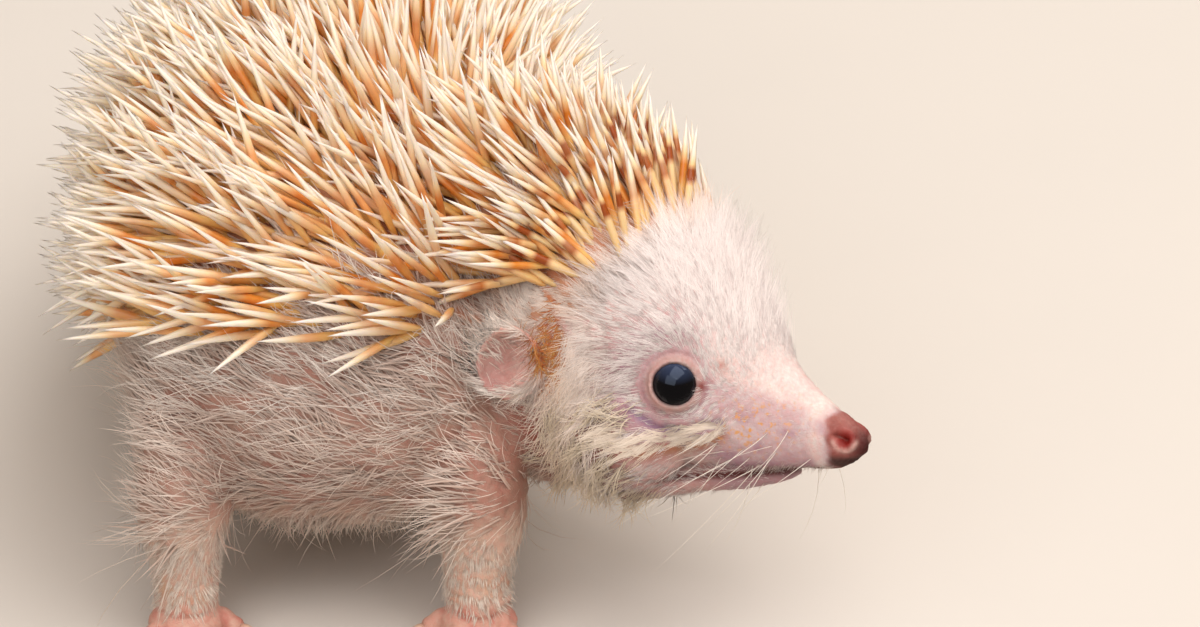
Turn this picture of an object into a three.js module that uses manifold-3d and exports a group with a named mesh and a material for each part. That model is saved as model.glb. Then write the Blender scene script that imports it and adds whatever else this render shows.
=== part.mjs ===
// A four-toed hedgehog standing on all fours with its head turned to its left, life size.
// Millimetres, +Z up, +X the way the trunk faces, +Y the animal's left. The solids reach out
// to the tips of the quills and of the hair, and each named piece of the body is one solid.
import * as THREE from 'three';
import { mergeVertices } from 'three/addons/utils/BufferGeometryUtils.js';
import Module from 'manifold-3d';

const wasm = await Module();
wasm.setup();

// ---- driving dimensions, in mm and degrees ----
const GAP = 0.3;               // clearance between neighbouring pieces
const QUILL_STAND = 10.5;      // how far the quill tips stand off the trunk
const CROWN_STAND = 9.5;       // and off the crown of the head
const CROWN_LEAN = 4;          // how far its foremost tips stand ahead of their roots
const QUILL_HANG = 6;          // how far the lowest tips hang below the flanks
const TRUNK_Y = -5;            // the trunk's middle plane
const TRUNK_SQUARENESS = 2.25; // 2 is an ellipse, more is boxier
const HEAD_SQUARENESS = 2.1;

const NOSE_TIP = new THREE.Vector3(42, 61, 31.6);
const HEAD_YAW = 58;           // turn of the head to the left of the trunk's way
const HEAD_PITCH = 9;          // nose up
const HEAD_ROLL = 14;          // crown leaning to the left
const NOSE_PAD_LENGTH = 3.7;
const SNOUT_LENGTH = 17;       // nose tip to where the snout meets the cheeks
const NECK_START = 43;         // how far behind the nose tip the head is parted from the neck

const EYE_RADIUS = 3.1;
const EYE_BEHIND = 21.2;       // behind the nose tip
const EYE_SIDE = 10.5;
const EYE_HEIGHT = 6.8;        // above the nose tip

const EAR_BEHIND = 41;
const EAR_SIDE = 18.6;
const EAR_HEIGHT = 8.4;
const EAR_TALL = 12;
const EAR_WIDE = 9.5;
const EAR_THICK = 1.6;

const FORE_X = 36;             // the wrists
const FORE_SPREAD = 18.2;
const HIND_X = -33;
const HIND_SPREAD = 17;
const FOREPAW_LENGTH = 12;
const HINDPAW_LENGTH = 23;
const FOREPAW_WIDTH = 11.5;
const HINDPAW_WIDTH = 9.5;
const PAW_THICK = 6;
const TOE_LENGTH = 5;
const CLAW_LENGTH = 3;
const CLAW_DROOP = 0.2;        // radians below level
const TAIL_ROOT_X = -66;
const TAIL_LENGTH = 13.5;

// rows of the trunk, to the tips of its hair: [x, half width, top, widest, bottom]
const TRUNK_ROWS = [
  [-74, 20, 36, 24, 15],
  [-60, 24, 44, 25, 12],
  [-40, 27, 52.5, 27, 9],
  [-15, 29, 58, 29, 8],
  [5, 29, 57.5, 29, 8],
  [18, 27.5, 54, 27, 8],
  [30, 24, 47, 26, 9],
  [40, 17, 37, 25, 12],
];
// rows of the head, as seen from behind its nose tip: [behind, half width, top, widest, bottom]
const HEAD_ROWS = [
  [0, 2.4, 2.2, 0, -2.4],
  [4.3, 3.3, 3.7, 0, -3.6],
  [8, 4.6, 5.6, 0.4, -4.3],
  [13, 7.2, 9.6, 1.6, -4.9],
  [18, 10.8, 17.2, 4, -5.5],
  [23, 13.6, 24.2, 6, -6.8],
  [27, 14.8, 27.2, 7, -8.8],
  [33, 16, 30, 7.5, -11.2],
  [42, 16.8, 35, 7.5, -13],
  [66, 17, 34, 7, -11],
];
// rows of the lower jaw, in the head's frame: [behind, half width, top, widest, bottom]
const JAW_ROWS = [
  [11, 2.4, -5.4, -6.0, -7.0],
  [15, 3.6, -5.5, -6.3, -7.9],
  [20, 5.2, -6.2, -7.0, -8.8],
  [27, 7.0, -7.8, -9.0, -10.6],
  [33, 7.4, -10, -11, -12.4],
];
// rows of the legs, top to bottom: [ahead of the wrist or heel, outward, height, radius]
const FORELEG_ROWS = [
  [-13, -3, 27, 8.4],
  [-4, 0, 17, 6.6],
  [-1, 0, 9.5, 4.6],
  [0, 0, 3.6, 4.0],
];
const HINDLEG_ROWS = [
  [14, -4, 23, 11],
  [6, 0, 15, 8.5],
  [-3, 0, 9, 4.6],
  [-5, 0, 3.6, 3.4],
];
// rows of the tail, root to tip: [part of its length, height, radius]
const TAIL_ROWS = [
  [0, 17, 3.2],
  [0.5, 15, 2.5],
  [1, 13, 1.1],
];
// the lower edge of the quills along the trunk, [x, z], and their front edge on the head, [x, y]
const SKIRT_LINE = [
  [-95, 17], [-74, 17], [-60, 12], [-25, 11], [2, 12], [13, 19],
  [21, 29], [27, 39], [31, 45], [36, 51], [70, 72],
];
const HAIRLINE = [[-40, -34], [-35, -17], [-29, -9], [-26, 0], [-29, 9], [-35, 17], [-40, 34]];
const CROWN_START = 18;        // the stretch of the head, behind the nose tip, whose quills
const CROWN_END = 46;          // make the crown
const EAR_TURN = 28;           // the ears' turn outward, and their lean back, in degrees
const EAR_LEAN = 16;

// ---- ways of making shapes ----
function asSolid(geometry) {
  const bare = geometry.clone();
  for (const name of ['normal', 'uv']) bare.deleteAttribute(name);
  const joined = mergeVertices(bare, 1e-4);
  const vertProperties = new Float32Array(joined.attributes.position.array);
  const triVerts = new Uint32Array(joined.index.array);
  return new wasm.Manifold(new wasm.Mesh({ numProp: 3, vertProperties, triVerts }));
}

function asGeometry(solid) {
  const mesh = solid.getMesh();
  const geometry = new THREE.BufferGeometry();
  geometry.setAttribute('position', new THREE.BufferAttribute(new Float32Array(mesh.vertProperties), 3));
  geometry.setIndex(new THREE.BufferAttribute(new Uint32Array(mesh.triVerts), 1));
  return geometry;
}

// The value of each column at x, on a smooth curve through the rows.
function rowAt(rows, x) {
  let i = 1;
  while (i < rows.length - 1 && rows[i][0] < x) i += 1;
  const [x1, x2] = [rows[i - 1][0], rows[i][0]];
  const t = THREE.MathUtils.clamp((x - x1) / (x2 - x1), 0, 1);
  const before = rows[Math.max(i - 2, 0)];
  const after = rows[Math.min(i + 1, rows.length - 1)];
  return rows[i].map((value, column) => {
    if (column === 0) return x;
    const a = rows[i - 1][column];
    const slopeA = ((value - before[column]) / (x2 - before[0])) * (x2 - x1);
    const slopeB = ((after[column] - a) / (after[0] - x1)) * (x2 - x1);
    const t2 = t * t;
    const t3 = t2 * t;
    return (2 * t3 - 3 * t2 + 1) * a + (t3 - 2 * t2 + t) * slopeA
      + (3 * t2 - 2 * t3) * value + (t3 - t2) * slopeB;
  });
}

// A closed body lofted through rows, rounded off over the lengths roundA and roundB at its ends.
// Its own x runs along it, y across, z up; sign -1 lays the rows backwards along x.
function lofted({ rows, roundA, roundB, rings, sides, squareness = 2, outset = 0, sign = 1 }) {
  const first = rows[0][0] - outset;
  const last = rows[rows.length - 1][0] + outset;
  const positions = [];
  const indices = [];
  const endFactor = (distance, round) => {
    if (distance >= round) return 1;
    return Math.sqrt(Math.max(0, 1 - (1 - distance / round) ** 2));
  };
  for (let i = 0; i <= rings; i += 1) {
    const turn = (Math.PI * i) / rings;
    const x = first + ((last - first) * (1 - Math.cos(turn))) / 2;
    const [, half, top, widest, bottom] = rowAt(rows, x);
    const k = Math.min(endFactor(x - first, roundA + outset), endFactor(last - x, roundB + outset));
    if (i === 0 || i === rings) {
      positions.push(sign * x, 0, widest);
      continue;
    }
    for (let j = 0; j < sides; j += 1) {
      const angle = (2 * Math.PI * j) / sides;
      const [c, s] = [Math.cos(angle), Math.sin(angle)];
      const across = Math.sign(c) * Math.abs(c) ** (2 / squareness);
      const rise = Math.sign(s) * Math.abs(s) ** (2 / squareness);
      const reach = rise > 0 ? top + outset - widest : widest - bottom + outset;
      positions.push(sign * x, across * (half + outset) * k, widest + rise * reach * k);
    }
  }
  const at = (ring, side) => 1 + (ring - 1) * sides + (side % sides);
  const end = positions.length / 3 - 1;
  for (let j = 0; j < sides; j += 1) {
    indices.push(0, at(1, j + 1), at(1, j));
    indices.push(end, at(rings - 1, j), at(rings - 1, j + 1));
    for (let ring = 1; ring < rings - 1; ring += 1) {
      indices.push(at(ring, j), at(ring, j + 1), at(ring + 1, j + 1));
      indices.push(at(ring, j), at(ring + 1, j + 1), at(ring + 1, j));
    }
  }
  if (sign < 0) indices.reverse();
  const geometry = new THREE.BufferGeometry();
  geometry.setAttribute('position', new THREE.Float32BufferAttribute(positions, 3));
  geometry.setIndex(indices);
  return geometry;
}

// An ellipsoid at a place, turned about the vertical.
function ellipsoid([x, y, z], [a, b, c], turn = 0, across = 12, up = 8) {
  return new THREE.SphereGeometry(1, across, up).scale(a, b, c).rotateZ(turn).translate(x, y, z);
}

// A tapering limb through places, with a radius at each: one ring for each place, closed by fans.
function limb(places, radii, sides = 10) {
  const curve = new THREE.CatmullRomCurve3(places.map((p) => new THREE.Vector3(...p)));
  const steps = (places.length - 1) * 3;
  const frames = curve.computeFrenetFrames(steps, false);
  const positions = [];
  const indices = [];
  for (let i = 0; i <= steps; i += 1) {
    const t = i / steps;
    const centre = curve.getPoint(t);
    const k = t * (radii.length - 1);
    const low = Math.min(Math.floor(k), radii.length - 2);
    const radius = THREE.MathUtils.lerp(radii[low], radii[low + 1], k - low);
    for (let j = 0; j < sides; j += 1) {
      const angle = (2 * Math.PI * j) / sides;
      const p = centre.clone()
        .addScaledVector(frames.normals[i], Math.cos(angle) * radius)
        .addScaledVector(frames.binormals[i], Math.sin(angle) * radius);
      positions.push(p.x, p.y, p.z);
    }
  }
  const at = (ring, side) => ring * sides + (side % sides);
  const ends = [places[0], places[places.length - 1]];
  const [a, b] = [positions.length / 3, positions.length / 3 + 1];
  positions.push(...ends[0], ...ends[1]);
  for (let j = 0; j < sides; j += 1) {
    indices.push(a, at(0, j + 1), at(0, j), b, at(steps, j), at(steps, j + 1));
    for (let i = 0; i < steps; i += 1) {
      indices.push(at(i, j), at(i, j + 1), at(i + 1, j + 1), at(i, j), at(i + 1, j + 1), at(i + 1, j));
    }
  }
  const geometry = new THREE.BufferGeometry();
  geometry.setAttribute('position', new THREE.Float32BufferAttribute(positions, 3));
  geometry.setIndex(indices);
  return geometry;
}

// A straight-sided block: an outline drawn in x, y, or in x, z where flat is false, made deep.
function block(outline, from, to, flat = true) {
  const shape = new THREE.Shape(outline.map(([x, y]) => new THREE.Vector2(x, y)));
  const geometry = new THREE.ExtrudeGeometry(shape, { depth: to - from, bevelEnabled: false });
  geometry.translate(0, 0, from);
  if (!flat) geometry.rotateX(Math.PI / 2);
  return geometry;
}

// ---- the frame of the head: x forward out of the nose, y to its left, z up through the crown ----
const degrees = THREE.MathUtils.degToRad;
const headTurn = new THREE.Matrix4().makeRotationZ(degrees(HEAD_YAW))
  .multiply(new THREE.Matrix4().makeRotationY(-degrees(HEAD_PITCH)))
  .multiply(new THREE.Matrix4().makeRotationX(-degrees(HEAD_ROLL)));
const headFrame = new THREE.Matrix4().makeTranslation(NOSE_TIP).multiply(headTurn);
const trunkFrame = new THREE.Matrix4().makeTranslation(0, TRUNK_Y, 0);
const inHead = (geometry) => asSolid(geometry.applyMatrix4(headFrame));
const inTrunk = (geometry) => asSolid(geometry.applyMatrix4(trunkFrame));

// A block that fills the head's frame from one distance behind the nose tip to another.
const HUGE = 90;
const headSlice = (from, to) => inHead(
  new THREE.BoxGeometry(to - from, HUGE, HUGE).translate(-(from + to) / 2, 0, 0),
);

// ---- whole forms, before they are parted ----
const trunkBody = (outset = 0) => inTrunk(lofted({
  rows: TRUNK_ROWS, roundA: 26, roundB: 14, rings: 18, sides: 22, squareness: TRUNK_SQUARENESS, outset,
}));
const headBody = (outset = 0) => inHead(lofted({
  rows: HEAD_ROWS, roundA: 3.4, roundB: 16, rings: 22, sides: 20,
  squareness: HEAD_SQUARENESS, outset, sign: -1,
}));
const jawBody = (outset = 0) => inHead(lofted({
  rows: JAW_ROWS, roundA: 2.6, roundB: 5, rings: 9, sides: 12, squareness: 2.4, outset, sign: -1,
}));

// The quills' outer form: over the trunk, and over the crown behind the hairline.
function quillForm() {
  const back = TRUNK_ROWS.map(([x, half, top, widest, bottom]) => [
    x < -50 ? x - QUILL_STAND * 0.8 : x, half + QUILL_STAND, top + QUILL_STAND, widest, bottom - QUILL_HANG,
  ]);
  const crown = HEAD_ROWS.slice(6).map(([behind, half, top, widest, bottom]) => [
    behind - CROWN_LEAN, half + CROWN_STAND * 0.6, top + CROWN_STAND, widest, bottom,
  ]);
  const overTrunk = inTrunk(lofted({
    rows: back, roundA: 30, roundB: 16, rings: 18, sides: 22, squareness: TRUNK_SQUARENESS,
  }));
  const overCrown = inHead(lofted({
    rows: crown, roundA: 12, roundB: 20, rings: 12, sides: 20, squareness: HEAD_SQUARENESS, sign: -1,
  }));
  return overTrunk.add(overCrown);
}

const eyePlace = (side, outset = 0) => inHead(
  new THREE.SphereGeometry(EYE_RADIUS + outset, 12, 9).translate(-EYE_BEHIND, side * EYE_SIDE, EYE_HEIGHT),
);

function earPlace(side, outset = 0) {
  const size = [EAR_WIDE / 2 + outset, EAR_THICK / 2 + outset, EAR_TALL / 2 + outset];
  const pinna = ellipsoid([0, 0, 0], size, 0, 10, 7);
  const bowlSize = [EAR_WIDE * 0.34, EAR_THICK * 0.5, EAR_TALL * 0.34];
  const hollow = ellipsoid([0.6, EAR_THICK * 0.62, 0.4], bowlSize, 0, 9, 6);
  const turn = new THREE.Matrix4().makeRotationFromEuler(
    new THREE.Euler(degrees(-side * EAR_LEAN), 0, degrees(-side * EAR_TURN)),
  );
  const place = new THREE.Matrix4().makeTranslation(-EAR_BEHIND, side * EAR_SIDE, EAR_HEIGHT).multiply(turn);
  if (side < 0) hollow.scale(1, -1, 1);
  const outer = inHead(pinna.applyMatrix4(place));
  if (outset > 0) return outer;
  const bowl = side < 0 ? flipped(hollow) : hollow;
  return outer.subtract(inHead(bowl.applyMatrix4(place)));
}

function flipped(geometry) {
  const index = Array.from(geometry.index.array).reverse();
  geometry.setIndex(index);
  return geometry;
}

// ---- the limbs ----
function leg(rows, x, y, side, outset) {
  const places = rows.map(([ahead, outward, height]) => [x + ahead, y + side * outward, height]);
  return asSolid(limb(places, rows.map((row) => row[3] + outset)));
}
const foreleg = (side, outset = 0) => leg(FORELEG_ROWS, FORE_X, TRUNK_Y + side * FORE_SPREAD, side, outset);
const hindleg = (side, outset = 0) => leg(HINDLEG_ROWS, HIND_X, TRUNK_Y + side * HIND_SPREAD, side, outset);

// A paw on the ground: a palm, toes spread in a fan with a claw on each, cut flat underneath.
function paw({ x, y, side, length, width, toes, turn, thumb }) {
  const palm = [length * 0.34, width * 0.43, PAW_THICK * 0.62];
  let solid = asSolid(ellipsoid([0, 0, PAW_THICK * 0.42], palm, 0, 9, 5));
  for (let i = 0; i < toes; i += 1) {
    const place = i / (toes - 1) - 0.5;
    const isThumb = thumb && i === 0;
    const spread = degrees(isThumb ? side * -62 : place * side * 46);
    const long = isThumb ? TOE_LENGTH * 0.6 : TOE_LENGTH * (1 - 0.3 * Math.abs(place));
    const [dx, dy] = [Math.cos(spread), Math.sin(spread)];
    const rootX = isThumb ? -length * 0.06 : length * 0.22;
    const rootY = place * side * width * 0.72;
    const along = (distance) => [rootX + dx * distance, rootY + dy * distance];
    const toe = ellipsoid([...along(long * 0.35), 1.9], [long * 0.85, width * 0.13, 2.0], spread, 6, 4);
    const claw = new THREE.ConeGeometry(0.8, CLAW_LENGTH * 1.5, 4).rotateZ(-Math.PI / 2 - CLAW_DROOP);
    claw.rotateX(-Math.PI / 2).rotateZ(spread).translate(...along(long * 1.05 + CLAW_LENGTH * 0.4), 1.4);
    solid = solid.add(asSolid(toe)).add(asSolid(claw));
  }
  const ground = asSolid(new THREE.BoxGeometry(60, 60, 20).translate(x, y, 10));
  return solid.rotate([0, 0, turn * side]).translate([x, y, 0]).intersect(ground);
}

// ---- the pieces ----
const belowSkirt = asSolid(block([...SKIRT_LINE, [70, -20], [-95, -20]], -HUGE, HUGE, false));
const aheadOfHairline = inHead(block([[40, -34], [40, 34], ...[...HAIRLINE].reverse()], -14, HUGE));

const trunk = trunkBody();
const trunkWide = trunkBody(GAP);
const head = headBody();
const headWide = headBody(GAP);
const jaw = jawBody();

const tailPlaces = TAIL_ROWS.map(([part, height]) => [TAIL_ROOT_X - TAIL_LENGTH * part, TRUNK_Y, height]);
const tail = (outset = 0) => asSolid(limb(tailPlaces, TAIL_ROWS.map((row) => row[2] + outset)));

const quills = quillForm().subtract(trunkWide).subtract(headWide)
  .subtract(belowSkirt).subtract(aheadOfHairline)
  .subtract(earPlace(1, GAP)).subtract(earPlace(-1, GAP)).subtract(tail(GAP))
  .subtract(hindleg(1, GAP)).subtract(hindleg(-1, GAP));

const pieces = {};
function piece(name, solid, colour, roughness) {
  pieces[name] = { solid, colour, roughness };
}

const SKIN = 0xd9b1a8;
const FUR = 0xe6d9c4;
const QUILL = 0xe0b070;
piece('trunk', trunk, FUR, 0.9);
piece('spiny_back', quills.subtract(headSlice(CROWN_START, CROWN_END)), QUILL, 0.5);
piece('spiny_crown', quills.intersect(headSlice(CROWN_START, CROWN_END - GAP)), QUILL, 0.5);
piece('neck', head.intersect(headSlice(NECK_START + GAP, HUGE)).subtract(trunkWide), FUR, 0.9);
piece('head', head.intersect(headSlice(SNOUT_LENGTH + GAP, NECK_START)).subtract(trunkWide)
  .subtract(eyePlace(1, GAP)).subtract(eyePlace(-1, GAP)), FUR, 0.9);
piece('snout', head.intersect(headSlice(NOSE_PAD_LENGTH + GAP, SNOUT_LENGTH)), SKIN, 0.6);
piece('nose', head.intersect(headSlice(-5, NOSE_PAD_LENGTH)), 0xb5605a, 0.4);
piece('lower_jaw', jaw.subtract(headWide).subtract(trunkWide), SKIN, 0.6);
piece('tail', tail().subtract(trunkWide), SKIN, 0.7);
for (const [name, side] of [['left', 1], ['right', -1]]) {
  const foreY = TRUNK_Y + side * FORE_SPREAD;
  const hindY = TRUNK_Y + side * HIND_SPREAD;
  const forepaw = paw({
    x: FORE_X + 1, y: foreY, side, length: FOREPAW_LENGTH, width: FOREPAW_WIDTH,
    toes: 5, turn: -4, thumb: true,
  });
  const hindpaw = paw({
    x: HIND_X, y: hindY, side, length: HINDPAW_LENGTH, width: HINDPAW_WIDTH,
    toes: 4, turn: 8, thumb: false,
  });
  piece(`eye_${name}`, eyePlace(side), 0x0a0a0e, 0.05);
  piece(`ear_${name}`, earPlace(side).subtract(headWide).subtract(trunkWide), SKIN, 0.6);
  piece(`foreleg_${name}`, foreleg(side).subtract(trunkWide).subtract(headWide), SKIN, 0.6);
  piece(`forepaw_${name}`, forepaw.subtract(foreleg(side, GAP)), SKIN, 0.6);
  piece(`hindleg_${name}`, hindleg(side).subtract(trunkWide), SKIN, 0.6);
  piece(`hindpaw_${name}`, hindpaw.subtract(hindleg(side, GAP)), SKIN, 0.6);
}

const group = new THREE.Group();
const bounds = new THREE.Box3();
for (const [name, { solid, colour, roughness }] of Object.entries(pieces)) {
  const material = new THREE.MeshStandardMaterial({ color: colour, roughness, metalness: 0 });
  const mesh = new THREE.Mesh(asGeometry(solid), material);
  mesh.name = name;
  group.add(mesh);
  bounds.expandByObject(mesh);
}
const middle = bounds.getCenter(new THREE.Vector3());
group.position.set(-middle.x, -middle.y, -bounds.min.z);

export default group;
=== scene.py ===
"""A life-size four-toed hedgehog, pale cinnamon in colour, standing with its head turned to its left.

Lengths are modelled in millimetres and brought to metres at the end of each piece. The trunk's
frame has its origin on the floor below the shoulders, x forward, y to the animal's left, z up. The
head's frame has its origin at the nose tip, with x forward out of the nose.
"""

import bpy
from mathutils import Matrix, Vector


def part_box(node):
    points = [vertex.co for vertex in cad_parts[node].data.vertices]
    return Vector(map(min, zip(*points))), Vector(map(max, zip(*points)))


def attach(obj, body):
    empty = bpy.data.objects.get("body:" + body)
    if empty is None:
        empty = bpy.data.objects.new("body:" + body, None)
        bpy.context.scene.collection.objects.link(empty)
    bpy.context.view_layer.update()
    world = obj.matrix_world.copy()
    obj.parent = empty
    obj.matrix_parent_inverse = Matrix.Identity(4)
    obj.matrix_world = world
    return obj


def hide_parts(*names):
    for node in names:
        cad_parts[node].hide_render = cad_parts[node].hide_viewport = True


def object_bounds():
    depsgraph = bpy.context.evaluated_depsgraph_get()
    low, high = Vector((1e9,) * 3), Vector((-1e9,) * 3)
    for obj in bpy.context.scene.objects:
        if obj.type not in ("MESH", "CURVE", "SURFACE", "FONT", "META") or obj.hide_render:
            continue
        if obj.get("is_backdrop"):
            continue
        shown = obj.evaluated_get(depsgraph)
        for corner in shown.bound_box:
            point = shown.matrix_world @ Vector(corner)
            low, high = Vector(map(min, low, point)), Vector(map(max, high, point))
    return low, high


bl_info = {
    "name": "Hedgehog",
    "version": (1, 0, 0),
    "blender": (4, 5, 0),
    "location": "View3D > Sidebar > Hedgehog",
    "description": "Builds a still, life-size hedgehog: skin, eyes, claws, quills, hair and stage",
    "category": "Add Mesh",
}

import math

import bmesh
import bpy
import numpy as np
from bpy.props import FloatProperty, FloatVectorProperty, IntProperty, PointerProperty
from mathutils import Euler, Matrix, Vector
from mathutils.bvhtree import BVHTree
from mathutils.kdtree import KDTree

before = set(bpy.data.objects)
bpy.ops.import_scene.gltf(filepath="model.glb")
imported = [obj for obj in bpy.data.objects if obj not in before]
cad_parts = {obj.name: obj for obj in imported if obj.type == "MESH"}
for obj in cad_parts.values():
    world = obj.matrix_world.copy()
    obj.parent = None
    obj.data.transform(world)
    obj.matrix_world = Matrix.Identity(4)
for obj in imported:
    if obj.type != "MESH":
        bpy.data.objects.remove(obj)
CAD_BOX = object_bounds()

MM = 0.001
SIDES = {"left": 1, "right": -1}

# ---- places taken from the frame ----


def middle(node):
    """The middle of a CAD node's box, in mm."""
    low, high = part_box(node)
    return (low + high) / (2 * MM)


HEAD_YAW, HEAD_PITCH, HEAD_ROLL = 58, 9, 14     # left of the trunk's way, nose up, crown to the left
EYE_BEHIND, EYE_HEIGHT = 21.2, 6.8              # the eyes' place from the nose tip
SHOULDERS_AHEAD = 17                            # the trunk frame's origin, ahead of the trunk's middle

HEAD_TURN = (
    Matrix.Rotation(math.radians(HEAD_YAW), 4, "Z")
    @ Matrix.Rotation(math.radians(-HEAD_PITCH), 4, "Y")
    @ Matrix.Rotation(math.radians(-HEAD_ROLL), 4, "X")
)
EYES = {name: middle("eye_" + name) for name in SIDES}
NOSE_TIP = (EYES["left"] + EYES["right"]) / 2 - HEAD_TURN @ Vector((-EYE_BEHIND, 0, EYE_HEIGHT))
HEAD = Matrix.Translation(NOSE_TIP) @ HEAD_TURN
TRUNK_MIDDLE = middle("trunk")
TRUNK = Matrix.Translation((TRUNK_MIDDLE.x + SHOULDERS_AHEAD, TRUNK_MIDDLE.y, 0))


def srgb(text, alpha=1.0):
    """An sRGB hex colour as linear values."""
    parts = [int(text[i:i + 2], 16) / 255 for i in (1, 3, 5)]
    linear = [c / 12.92 if c <= 0.04045 else ((c + 0.055) / 1.055) ** 2.4 for c in parts]
    return (*linear, alpha)


# ---- sizes and colours that a user would change ----


class HedgehogSkin(bpy.types.PropertyGroup):
    coat_depth: FloatProperty(name="Coat depth", description="Hair over the trunk's skin, in mm", default=2.2)
    face_depth: FloatProperty(name="Face depth", description="Hair over the cheeks' skin, in mm", default=1.2)
    grain: FloatProperty(name="Grain", description="Size of the skin's mesh, in mm", default=0.3)
    faces: IntProperty(name="Faces", description="Triangles that the skin is brought down to", default=185000)
    body: FloatVectorProperty(name="Body", subtype="COLOR", default=srgb("#B28E80")[:3])
    face: FloatVectorProperty(name="Face", subtype="COLOR", default=srgb("#E3C6C2")[:3])


class HedgehogQuills(bpy.types.PropertyGroup):
    spacing: FloatProperty(name="Spacing", description="Between roots, in mm", default=1.22, min=0.6)
    length: FloatProperty(name="Length", description="Of a quill on the back, in mm", default=16.2)
    width: FloatProperty(name="Width", description="Of a quill at its thickest, in mm", default=1.15)
    tip: FloatVectorProperty(name="Tip", subtype="COLOR", default=srgb("#FBEBD6")[:3])
    band: FloatVectorProperty(name="Band", subtype="COLOR", default=srgb("#DE8420")[:3])
    root: FloatVectorProperty(name="Root", subtype="COLOR", default=srgb("#EDA848")[:3])


class HedgehogHair(bpy.types.PropertyGroup):
    flank: IntProperty(name="Flank hairs", description="Locks on the trunk", default=12500)
    face: IntProperty(name="Face hairs", description="Locks on the head", default=40000)
    under: IntProperty(name="Under fur", description="Short locks on the trunk", default=17000)
    limbs: IntProperty(name="Limb hairs", description="Locks on the legs", default=16000)
    width: FloatProperty(name="Width", description="Of a lock at its root, in mm", default=0.24)
    cream: FloatVectorProperty(name="Cream", subtype="COLOR", default=srgb("#F0D8C6")[:3])
    white: FloatVectorProperty(name="White", subtype="COLOR", default=srgb("#F1E1DC")[:3])


class HedgehogStage(bpy.types.PropertyGroup):
    distance: FloatProperty(name="Distance", description="Camera to its aim", default=0.81, unit="LENGTH")
    lens: FloatProperty(name="Lens", description="Focal length, in mm", default=198.0, unit="CAMERA")
    elevation: FloatProperty(name="Elevation", default=math.radians(30), subtype="ANGLE")
    floor: FloatVectorProperty(name="Floor", subtype="COLOR", default=srgb("#D9D5D0")[:3])


# ---- small tools ----


def ramp(x, low, high):
    """0 below low and 1 above high, with a smooth rise between them."""
    t = np.clip((np.asarray(x, float) - low) / (high - low), 0, 1)
    return t * t * (3 - 2 * t)


def bump(x, width):
    """1 at x = 0, falling away over width."""
    return np.exp(-((np.asarray(x, float) / width) ** 2))


def unit(v):
    """Vectors brought to a length of 1."""
    return v / np.maximum(np.linalg.norm(v, axis=-1, keepdims=True), 1e-9)


def into(matrix, points):
    """Points in mm, seen in a frame."""
    m = np.array(matrix.inverted())
    return np.asarray(points) @ m[:3, :3].T + m[:3, 3]


def out_of(matrix, points):
    """Points in a frame, brought out of it."""
    m = np.array(matrix)
    return np.asarray(points) @ m[:3, :3].T + m[:3, 3]


def turned(matrix, directions):
    """Directions turned out of a frame."""
    return np.asarray(directions, float) @ np.array(matrix)[:3, :3].T


def mirrored(place, sign):
    """A place on the left, kept for a sign of 1 and brought to the right for -1."""
    return np.array([place[0], sign * place[1], place[2]])


def seen(points):
    """How far places lie behind the nose tip, to its left and above it, in the head's frame."""
    head = into(HEAD, points)
    return -head[:, 0], head[:, 1], head[:, 2]


def finder_of(points):
    """A tree that finds the nearest of some places."""
    tree = KDTree(len(points))
    for i, p in enumerate(points):
        tree.insert(p, i)
    tree.balance()
    return tree


def ripple(points, size, seed):
    """A smooth wandering value between about -1 and 1, with waves of that size in mm."""
    rng = np.random.default_rng(seed)
    total = np.zeros(len(points))
    for _ in range(6):
        wave = rng.normal(size=3)
        wave *= 2 * math.pi / size / np.linalg.norm(wave) * rng.uniform(0.6, 1.4)
        total += np.sin(points @ wave + rng.uniform(0, 2 * math.pi))
    return total / 2.6


def row_at(rows, x):
    """The columns of a table of rows at x, on a smooth curve through them."""
    i = 1
    while i < len(rows) - 1 and rows[i][0] < x:
        i += 1
    a, b = rows[i - 1], rows[i]
    before, after = rows[max(i - 2, 0)], rows[min(i + 1, len(rows) - 1)]
    t = min(max((x - a[0]) / (b[0] - a[0]), 0), 1)
    found = []
    for k in range(1, len(b)):
        slope_a = (b[k] - before[k]) / (b[0] - before[0]) * (b[0] - a[0])
        slope_b = (after[k] - a[k]) / (after[0] - a[0]) * (b[0] - a[0])
        found.append(
            (2 * t**3 - 3 * t**2 + 1) * a[k] + (t**3 - 2 * t**2 + t) * slope_a
            + (3 * t**2 - 2 * t**3) * b[k] + (t**3 - t**2) * slope_b
        )
    return found


def ball(bm, place, around=40, along=28):
    """A closed form: a unit sphere whose every point is moved by place."""
    for v in bmesh.ops.create_uvsphere(bm, u_segments=around, v_segments=along, radius=1)["verts"]:
        v.co = place(v.co)


def egg(bm, matrix, centre, size, turn=(0, 0, 0), around=28, along=20):
    """An ellipsoid in a frame, turned by angles in degrees."""
    spin = Euler([math.radians(a) for a in turn]).to_matrix()

    def place(p):
        return matrix @ (Vector(centre) + spin @ Vector([p[i] * size[i] for i in range(3)]))

    ball(bm, place, around, along)


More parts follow.
